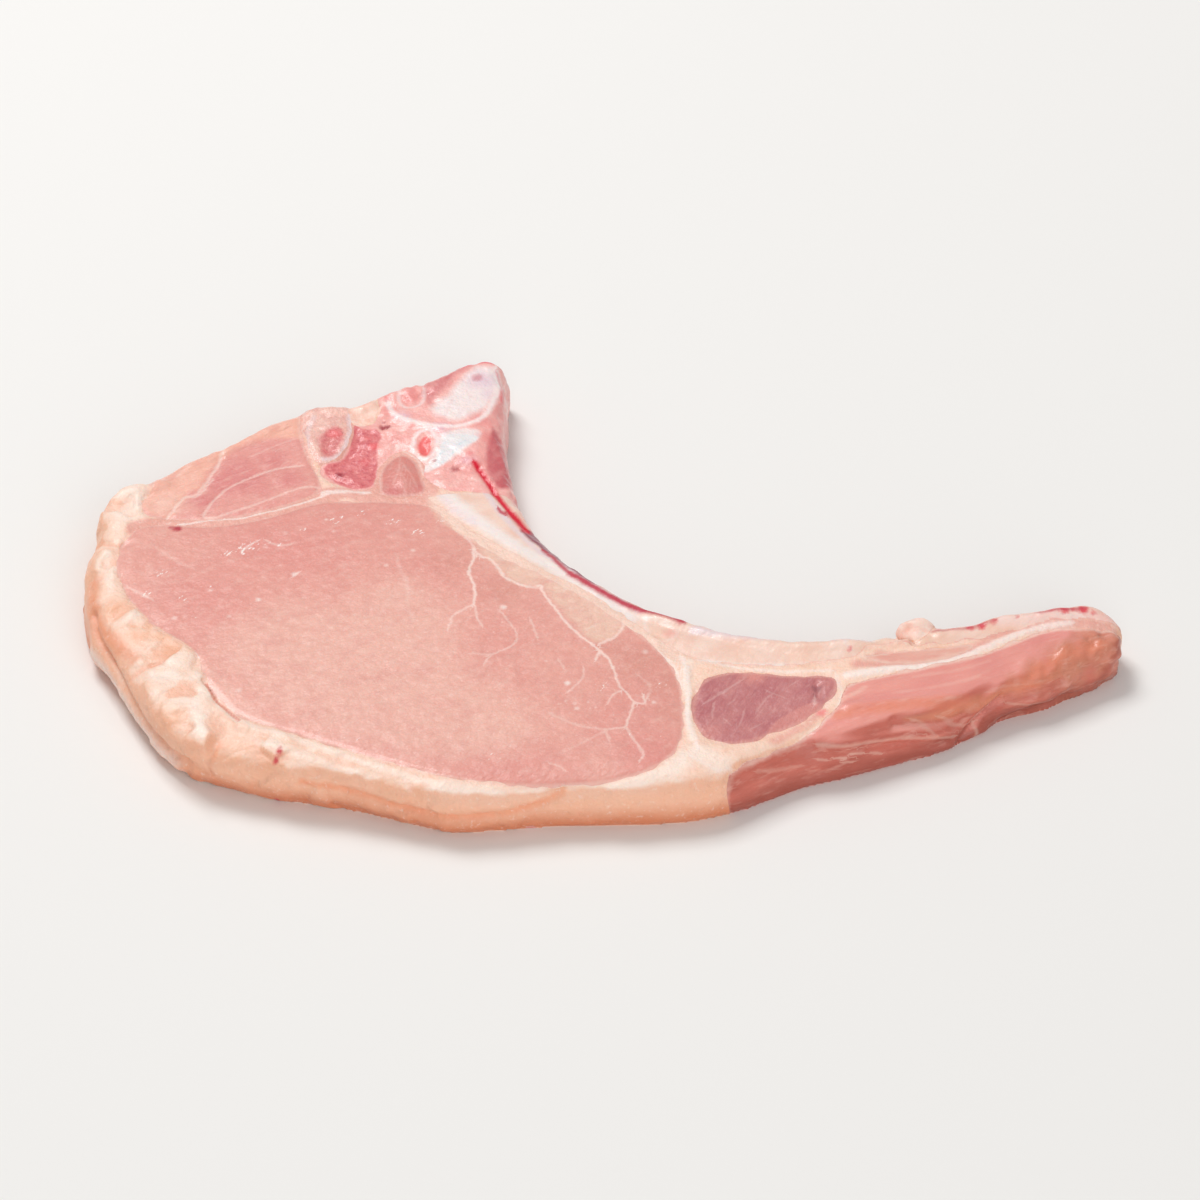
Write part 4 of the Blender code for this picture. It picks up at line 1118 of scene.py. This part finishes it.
# Sawn chine: wet gristle and bone, granular where the saw opened the marrow, smooth on the facet.
chine = cut_piece("chine_of_spine", CHINE_OUTLINE)
chine_places = plan_points(chine.data)
paint(chine, "side", side_share(chine))
for name, rows in (("marrow", CHINE_MARROW), ("mauve", CHINE_MAUVE)):
    paint(chine, name, patches(chine_places, rows) * top_share(chine))
for name, rows in (("ellipse", CHINE_ELLIPSE), ("white", CHINE_WHITE), ("facet", CHINE_FACET)):
    paint(chine, name, patches(chine_places, rows))
for name, rows in (("bright", CHINE_BRIGHT), ("dark", CHINE_DARK), ("lavender", CHINE_LAVENDER),
                   ("pink", CHINE_PINK)):
    paint(chine, name, spots(chine_places, rows))
for name, rows in (("rim", CHINE_RIMS), ("tip", CHINE_TIP), ("vessel", VESSEL_BRIGHT)):
    paint_lines(chine, name, rows)
finish_piece(chine, "chine_bone", tissue(
    "sawn_chine", "#F8B6AE",
    (
        ("#F6ABA4", ((3, 0, 1),), 0.44, 0.66, 0.8),
        ("#FCD3C8", ((1.6, 0, 1),), 0.55, 0.76, 0.5),
        ("#E58886", ("side", (3.2, 0, 1, 1.8)), 0.9, 1.3, 0.75),
        ("#FBDDD6", ("side", (2.2, 0, 1, 1.8)), 1.05, 1.4, 0.7),
        ("#F6E6E3", ("white", (2.2, 0, 1, 0.6)), 0.1, 0.85, 0.95),
        ("#EC8D89", ("pink", (2, 0, 1, 0.4)), 0.15, 0.85, 0.85),
        ("#E6C4D3", ("lavender", (2, 0, 1, 0.5)), 0.1, 1, 0.8),
        ("#C9575F", ("mauve", (1.8, 1.2, 2, 1.0)), 0.1, 1.05, 0.9),
        ("#EDE7E7", ("facet", (1.6, 0.8, 2, 0.9)), 0.2, 0.8, 0.95),
        ("#DBE4E8", ("facet", (1.2, 0.8, 2, 2)), 1.0, 1.4, 0.8),
        ("#E37D7E", ("marrow", (1.1, 0, 1, 0.7)), 0.25, 0.7, 1),
        ("#CB5560", ("marrow", (0.9, 0, 1, 2.5)), 0.85, 1.5, 0.75),
        ("#F7A39C", ("marrow", (1.0, 0, 1, 3.4)), 1.2, 1.9, 0.7),
        ("#F36A68", ("ellipse",), 0.2, 0.8, 0.95),
        ("#F0696C", ("bright", (0.9, 0, 1, 0.4)), 0.25, 0.8, 0.85),
        ("#A32C3A", ("dark", (0.7, 0, 1, 0.4)), 0.3, 0.8, 0.9),
    ),
    ((0.9, 0, 1, 0.22), (2.6, 0, 1, 0.2)),
    (("#FDEDEA", "rim", 1.4, 0.8), ("#EE4F60", "tip", 1.4, 0.85), ("#D91030", "vessel", 0.5, 1)),
    roughness=0.36))

# Rib
# The rib runs along the inner curve under a milky skin: white with beige and blue-grey stretches,
# knotted where it bends, with a blood vessel, bright red and then dark, along its outer edge.

VESSEL_DARK = ((1.3, 1.5, ((-12.8, 12.8), (-10.6, 9.6), (-7.2, 5.4), (-3.8, 0.8), (-0.8, -3))),)
VESSEL_THIN = (
    (0.9, 0.6, ((-10, 6.6), (-8.2, 4), (-5.6, -0.8))),
    (1, 1.1, ((-5.6, -0.8), (-0.6, -5.8), (5.6, -10.8), (10.4, -12.8))),
    (1, 1.2, ((10.4, -12.8), (12.6, -13.8), (14.6, -15.4))),
    (0.9, 0.4, ((-18.2, 19), (-17.4, 17.2), (-16.8, 18.4))),
    (0.5, 0.5, ((60.4, -18.2), (66.1, -17.4), (71.2, -15.6))),
    (0.6, 0.5, ((80, -13.8), (83.3, -13), (87.8, -12.2))),
)
RIB_BLOOD = (
    (35.4, -27.4, 0.7, 0.9), (36.6, -26.2, 0.7, 0.6), (37, -27, 0.5, 0.7), (44.8, -23.6, 0.8, 0.8),
    (28, -20.2, 0.6, 0.6), (61, -17.8, 1.2, 0.7), (63.6, -17.6, 1, 0.6), (67, -17, 1.3, 0.9),
    (69, -16.6, 1.4, 1), (71.4, -15.8, 1.1, 0.8), (75.6, -14.6, 0.9, 0.6), (79, -13.8, 0.9, 0.6),
    (82, -13, 1.2, 0.8), (84.2, -12.8, 1.5, 1), (87.8, -12.4, 1.5, 1), (86, -12.4, 1.2, 0.8),
    (89.6, -13, 1.2, 0.6), (12.2, -19.2, 0.7, 0.4), (84, -16.4, 0.6, 0.6), (83.4, -17, 0.5, 0.5),
)
RIB_BEIGE = (
    (10, -19, 5, 0.7), (24, -24, 6, 0.5), (36, -25, 6, 0.7), (50, -23.6, 5, 0.9), (58, -20.6, 6, 0.9),
    (74, -16, 6, 0.8), (-19, 5, 4, 0.5), (46, -24, 3, 0.6),
)
RIB_PINK = (
    (80, -12, 5, 0.5), (91, -13, 4, 0.6), (70, -14.4, 3, 0.4), (64, -15.4, 4, 0.4),
    (12.6, -18.4, 1.6, 0.9),
)
RIB_END = ((0.9, 1.8, ((73, -15.6), (79, -14.6), (86, -14), (92, -14))),)
RIB_COOL = (
    (0.9, 0.9, ((-20.4, 24), (-17.4, 17), (-12, 8), (-6, 1), (0, -6), (7, -12))),
    (0.9, 1.5, ((17, -17.6), (26, -19.4), (36, -20), (48, -20.6))),
    (0.6, 1.5, ((-29, 24), (-26.4, 19), (-23, 14.6))),
)
RIB_WHITE = (
    (1, 1.9, ((-29.6, 26), (-26.4, 21.6), (-22.6, 16), (-17, 9.4), (-10, 2.6), (-3, -4.6),
              (2.6, -10.4), (5, -13.6))),
    (0.9, 0.6, ((-1, -17.4), (3, -18.6), (7, -20), (11, -24), (14, -27))),
    (0.6, 0.6, ((8, -14), (11.6, -15.4), (13.6, -18.4), (11, -20.6), (8.4, -18.4), (8, -14))),
    (0.8, 0.7, ((18, -26), (26, -27), (38, -27))), (0.6, 0.6, ((44, -22), (46, -26), (45, -28))),
    (0.7, 0.8, ((-4, -4), (0, -3.6), (4, -9))),
)

# Milky skin over rib: thin, tight and shiny, so that the bone's grey and the blood show through.
rib = cut_piece("rib_under_skin", RIB_OUTLINE)
rib_places = plan_points(rib.data)
paint(rib, "side", side_share(rib))
paint(rib, "beige", spots(rib_places, RIB_BEIGE))
outer_wall = side_share(rib) * fade(rib_places[:, 0], 40, 60)
paint(rib, "pink", numpy.maximum(spots(rib_places, RIB_PINK), outer_wall))
for name, rows in (("cool", RIB_COOL), ("white", RIB_WHITE), ("end", RIB_END)):
    paint(rib, name, strokes(rib_places, rows))
paint(rib, "old_blood", strokes(rib_places, VESSEL_DARK) * top_share(rib))
paint(rib, "blood", spots(rib_places, RIB_BLOOD) * top_share(rib))
paint_lines(rib, "thin_vessel", VESSEL_THIN)
paint_lines(rib, "vessel", VESSEL_BRIGHT)
paint(rib, "film", patches(rib_places, EYE_FILM))
finish_piece(rib, "rib_bone", tissue(
    "milky_rib_skin", "#F7D6C6",
    (
        ("#F1C4B2", ((3.4, 0.7, 2),), 0.44, 0.68, 0.7),
        ("#EECAB4", ("film",), 0.2, 0.9, 0.8),
        ("#F8E9E3", ("white", (2.4, 0.7, 2, 0.7)), 0.2, 0.9, 0.95),
        ("#F2C5AE", ("beige", (2.4, 0, 1, 0.4)), 0.2, 0.9, 0.8),
        ("#EAD6D9", ("cool", (2, 0, 1, 0.6)), 0.25, 0.9, 0.85),
        ("#F4ADA2", ("side",), 0.2, 1, 0.7),
        ("#E58F87", ("side", (3.6, 0, 1, 1.8)), 0.95, 1.35, 0.7),
        ("#F9D5CB", ("side", (2.2, 0, 1, 1.8)), 1.05, 1.4, 0.7),
        ("#F9DAD2", ("end", (2.4, 0.2, 2, 0.8)), 0.2, 0.95, 0.85),
        ("#F0ADA0", ("pink", (2.4, 0, 1, 0.6)), 0.2, 0.9, 0.8),
        ("#8A3550", ("old_blood", (1.6, 0.8, 2, 0.5)), 0.35, 0.85, 0.9),
        ("#E0394A", ("blood", (0.9, 0, 1, 0.8)), 0.4, 0.9, 0.9),
    ),
    ((1.0, 0.7, 2, 0.18), (2.6, 0, 1, 0.2)),
    (("#C42842", "thin_vessel", 1.2, 0.95), ("#D91030", "vessel", 0.5, 1)),
    roughness=0.38))

# Flake of fat
# A loose flake of fat that stands on the edge of the rib.

SCRAP_OUTLINE = smooth_path((
    (53.4, -18.8), (53.4, -10), (60.4, -10), (59.5, -17.6), (56.9, -20.1),
), closed=True)

# Loose fat: like the plug, but dry and matt at its torn edges.
scrap = cut_piece("fat_flake", SCRAP_OUTLINE)
finish_piece(scrap, "fat_scrap", tissue(
    "loose_fat", "#FDDACB", CREAM_LAYERS, CREAM_BUMPS, roughness=0.5, coat=0.1))

# Back fat
# The rim of firm fat round the left and near sides, one web with the pale seams between the
# muscles: cream on the cut face, peach down its side, where light comes through, warmed by a painted
# reflection; painted shade lies in its creases and hollows and towards the floor.

FAT_WHITE = (
    (0.8, 1.0, ((-73, -28.6), (-71.2, -33), (-68.6, -38), (-64, -42.4), (-56, -46.4), (-47, -51),
                (-38, -55.6), (-28, -60))),
    (0.9, 3.2, ((-86, 26), (-85, 22), (-87, 19))), (0.7, 1.0, ((-90, 7), (-90, 2), (-89, -4))),
    (1, 2.0, ((-80.4, -29.4), (-77.4, -29.4))), (0.8, 1.8, ((-73, -38), (-72, -44))),
    (0.7, 1.4, ((-61.4, -47.6), (-53.7, -51.2), (-47.8, -54.4), (-41, -57))),
    (0.9, 3, ((12, -55), (16, -52), (20, -54))),
    (0.9, 1.0, ((15.4, -48), (15.1, -40), (14.9, -32), (15.6, -26))),
    (0.9, 1.3, ((44, -30.5), (51.7, -28.7), (59.8, -27.4), (66, -24.4))),
    (1, 2.6, ((-30, -60.4), (-18, -61.6), (-6, -61.2), (4, -59.2), (12, -56))),
)
FAT_PINK = (
    (1.6, 1.7, ((-85, 14.6), (-80, 16.4), (-76, 16), (-68, 16.6), (-60, 18.8), (-53, 22.4), (-49, 23))),
    (1.3, 1.9, ((-51, 24.4), (-47, 24.8), (-42, 23.6), (-36, 22.8), (-31, 22))),
    (0.6, 1.4, ((-82, 27), (-78, 34), (-66, 46))),
    (1.5, 1.9, ((-52.6, 24.6), (-54, 30), (-55, 36), (-56.4, 42), (-56, 51))),
    (1.5, 1.7, ((-41.6, 24.6), (-41.4, 29), (-39.6, 34.4), (-36.2, 37.6), (-33, 34.6), (-31.6, 28.6),
                (-31, 24.6))),
    (1.2, 1.3, ((-50.6, 34), (-47, 36), (-45.2, 41), (-45, 46))),
    (0.7, 1.2, ((38.6, -40.8), (36, -44), (30, -48))),
    (0.9, 2.2, ((70, -19.4), (76, -17), (84, -16), (92, -16))),
    (0.8, 1.2, ((50, -24.4), (58, -24.6), (67, -22.6))),
    (0.8, 1.6, ((46, -27.4), (54, -27), (62, -25), (70, -21))),
)
# Painted shade, orange, in the creases and under the lips of the fat, seen from above.
FAT_CREASE_SHADE = (
    (0.9, 1.6, ((-92.4, 0), (-92.2, -8), (-90.6, -13.6), (-87.6, -18.6), (-84.4, -23.4))),
    (0.7, 1.0, ((-84.4, -27.4), (-82.4, -26.2), (-79.4, -25.6))),
    (0.6, 0.8, ((-92.4, 12), (-88.5, 9.6), (-86.6, 10))),
    (0.5, 1.0, ((-72, -50), (-70, -49), (-68.4, -47))), (0.4, 1.6, ((-85, -17), (-81, -22))),
)
FAT_LINES = (
    (0.9, 0.3, ((-76.9, 16), (-74.5, 16.5), (-71.4, 17.2), (-65.3, 17.8), (-62.9, 18.8), (-57.9, 20.3),
                (-53, 22.7), (-49.4, 24.4))),
    (0.6, 0.3, ((-52.6, 26), (-54, 31), (-55, 37))),
    (0.5, 0.3, ((-36.2, 37.4), (-33.4, 34.8), (-32, 30))),
    (1, 0.7, ((-50.6, 24.6), (-46.3, 25.3), (-42.6, 24.8))),
    (0.8, 0.4, ((4.7, -18.6), (9.4, -22.5), (12.6, -27), (14, -33))),
    (0.9, 0.5, ((14.4, -25), (15.4, -33), (14.9, -41.5), (15.9, -47.1), (16.4, -50.8))),
    (0.7, 0.4, ((17.7, -25.6), (24.9, -27.8), (32.1, -28.8), (41, -29))),
    (1, 1.2, ((44.1, -30.6), (51.7, -28.9), (59.8, -27.4), (66.2, -24.6), (77.3, -18), (85.1, -16))),
    (0.6, 0.5, ((15.6, -53), (19.2, -55.5), (22, -55))),
    (0.5, 0.4, ((42, -30), (42.6, -37), (39.6, -43), (33, -49))),
)
FAT_RAW = ((39, -40.6, 1.4, 1), (-87.4, 9.8, 1, 0.5), (43, -38.6, 0.8, 0.5))
FAT_LOWER = ((0.9, 1.8, ((-14, 3.8), (-24, 4), (-34, 3.6), (-44, 3))),)
FAT_SHADOW = ((0.9, 0.55, ((-71.3, -31), (-69.8, -35), (-67, -38.8), (-65.2, -41.4))),)
FAT_PEACH = (
    (-88, -10, 4, 0.7), (-84, -16, 4, 0.8), (-77.6, -22, 3.4, 0.9), (-80, -18, 3, 0.6),
    (-78, -40, 4, 0.6), (-74, -47, 3, 0.6), (-66, -48, 4, 0.5), (-60, -50, 4, 0.5),
)
# Creases in the fat's near wall, where painted shade lies; drawn as seen from the front.
FAT_CREASE = (
    (0.8, 1.0, ((-54, 7), (-47, 6.2), (-40, 5.4), (-33, 4.6), (-26, 4.6), (-18, 5), (-12, 6.4),
                (-8, 8.2))),
)
FAT_FILM = ((0.9, 2, RIB_INNER_LINE),)
FAT_BLOOD = (
    (-58, -50.6, 0.8, 0.9), (-58.6, -51.8, 0.7, 0.9), (-57.8, -49.6, 0.6, 0.6), (-92, -16, 0.7, 0.4),
)

# Firm back fat: opaque cream where cut, waxy and slightly see-through at the rim. Its side is peach,
# the fat's own colour warmed by a painted reflection, with painted shade, orange, in the creases and
# hollows and darker towards the floor.
fat = slab
fat.name = "back_fat"
fat_places = plan_points(fat.data)
fat_side = side_share(fat)
paint(fat, "side", fat_side)
# Painted shade and a painted warm reflection: the side darker orange towards the floor.
paint(fat, "low", fat_side * fade(-fat_places[:, 2], -7, 0))
paint(fat, "white", strokes(fat_places, FAT_WHITE) * fade(fat_places[:, 2], 5, 8))
paint(fat, "pink", strokes(fat_places, FAT_PINK))
fat_crags = crags(fat_places)
paint(fat, "crag", spots(fat_places, CRAGGED) * fat_crags * (1 - 0.6 * fat_side))
# Painted shade in the hollows between the torn plates of fat.
paint(fat, "trough", spots(fat_places, CRAGGED) * (1 - fat_crags))
paint(fat, "orange", numpy.maximum(strokes(fat_places, FAT_CREASE_SHADE),
                                   fat_side * strokes(fat_places[:, [0, 2]], FAT_CREASE)))
paint(fat, "shadow", strokes(fat_places, FAT_SHADOW))
for name, rows in (("peach", FAT_PEACH), ("blood", FAT_BLOOD), ("raw", FAT_RAW)):
    paint(fat, name, spots(fat_places, rows))
near_seams = [border_share(fat_places, outline, 1.1) for outline in SEAMED_OUTLINES]
paint(fat, "near", numpy.max(near_seams, axis=0) * (1 - fat_side))
paint_lines(fat, "seam", FAT_LINES)
left_wall = fat_side * fade(-fat_places[:, 0], 60, 74)
paint(fat, "lower", left_wall * strokes(fat_places[:, [1, 2]], FAT_LOWER))
paint(fat, "film", numpy.maximum(patches(fat_places, EYE_FILM), strokes(fat_places, FAT_FILM)))
finish_piece(fat, "fat", tissue(
    "firm_back_fat", "#FCD7C3",
    (
        ("#F7C4A8", ((5, 0, 1),), 0.42, 0.7, 0.7),
        ("#F5B592", ("peach", (2.6, 0, 1, 0.5)), 0.15, 0.85, 0.9),
        # painted shade in the hollows
        ("#F2B092", ("trough", (1.4, 0, 1, 0.5)), 0.3, 1, 0.6),
        ("#FDE6D8", ("white", (2, 0, 1, 0.6)), 0.25, 0.95, 0.85),
        ("#FFEBDD", ("crag", (1.2, 0, 1, 0.5)), 0.35, 1, 0.75),
        # peach side: the fat's own colour, warmed by a painted reflection
        ("#F4B695", ("side", (5, 0, 1, 0.5)), 0.2, 0.9, 0.8),
        # painted shade and warm reflection towards the floor
        ("#DA7F56", ("low", (4, 0, 1, 0.4)), 0.1, 0.9, 0.85),
        ("#F6C4B6", ("near", (1.4, 0, 1, 0.6)), 0.3, 1.1, 0.6),
        ("#EAA99B", ("pink", (1.8, 0, 1, 0.5)), 0.2, 0.8, 0.9),
        ("#F4D0BF", ("film", (2, 0, 1, 0.4)), 0.25, 0.9, 0.85),
        # painted shade in the creases
        ("#F0946B", ("orange", (2, 0, 1, 0.5)), 0.25, 1, 0.7),
        ("#FAE0D4", ("lower", (2, 0, 1, 0.5)), 0.2, 0.9, 0.85),
        ("#F58684", ("raw", (1, 0, 1, 0.5)), 0.3, 0.9, 0.85),
        ("#D8705C", ("shadow",), 0.3, 0.9, 0.8),
        ("#FFEFE5", ((0.8, 0, 1),), 0.6, 0.76, 0.35),
        ("#EDAE96", ((1.6, 0, 1),), 0.6, 0.78, 0.4),
        ("#D23F4A", ("blood", (0.7, 0, 1, 0.4)), 0.3, 0.8, 0.9),
    ),
    ((0.9, 0, 1, 0.26), (3.0, 0, 1, 0.4)),
    (("#FDEAE2", "seam", 2.2, 0.75),), roughness=0.46, coat=0.15))

# Studio
# A pale floor without a join, soft light from above and behind on the left and a weaker one from
# the front, and the camera at the photo's own angle, drawn in until the chop fills the frame.

CAMERA_PLACE = mathutils.Vector((-24.2, -1134.8, 915.6)) * MM
CAMERA_AIM = mathutils.Vector((0, -1, 4)) * MM
SENSOR_WIDTH = 36
FRAME_SHARE = 0.86
FLOOR_REACH = 3.0
WORLD_LIGHT = 0.4


def aim_at(thing, place, target):
    """Puts a lamp or camera at a place and turns it to a target."""
    thing.location = place
    heading = mathutils.Vector(target) - mathutils.Vector(place)
    thing.rotation_euler = heading.to_track_quat("-Z", "Y").to_euler()


def soft_box(name, place, size, power):
    """A square area light that faces the chop, its size in metres and its power in watts."""
    lamp = bpy.data.lights.new(name, "AREA")
    lamp.size = size
    lamp.energy = power
    aim_at(new_object(name, lamp), place, (0, 0, 0))


floor_form = bmesh.new()
bmesh.ops.create_grid(floor_form, x_segments=2, y_segments=2, size=FLOOR_REACH)
floor_mesh = bpy.data.meshes.new("floor")
floor_form.to_mesh(floor_mesh)
floor_form.free()
floor = new_object("floor", floor_mesh)
floor_material = bpy.data.materials.new("pale_floor")
floor_material.use_nodes = True
floor_shader = floor_material.node_tree.nodes["Principled BSDF"]
floor_shader.inputs["Base Color"].default_value = linear("#EFEDEA")
floor_shader.inputs["Roughness"].default_value = 0.8
floor_mesh.materials.append(floor_material)

soft_box("key", place=(-0.45, 0.7, 1.2), size=0.6, power=13)
soft_box("fill", place=(0.3, -1.25, 0.6), size=1.2, power=8.5)

world = bpy.data.worlds.new("studio")
world.use_nodes = True
sky = world.node_tree.nodes["Background"]
sky.inputs["Color"].default_value = (1, 1, 1, 1)
sky.inputs["Strength"].default_value = WORLD_LIGHT
bpy.context.scene.world = world
bpy.context.scene.view_settings.view_transform = "Standard"

camera = bpy.data.cameras.new("camera")
camera.sensor_width = SENSOR_WIDTH
chop_width = cad_box[1][0] - cad_box[0][0]
camera.lens = SENSOR_WIDTH * FRAME_SHARE * (CAMERA_AIM - CAMERA_PLACE).length / chop_width
camera_object = new_object("camera", camera)
aim_at(camera_object, CAMERA_PLACE, CAMERA_AIM)
bpy.context.scene.camera = camera_object
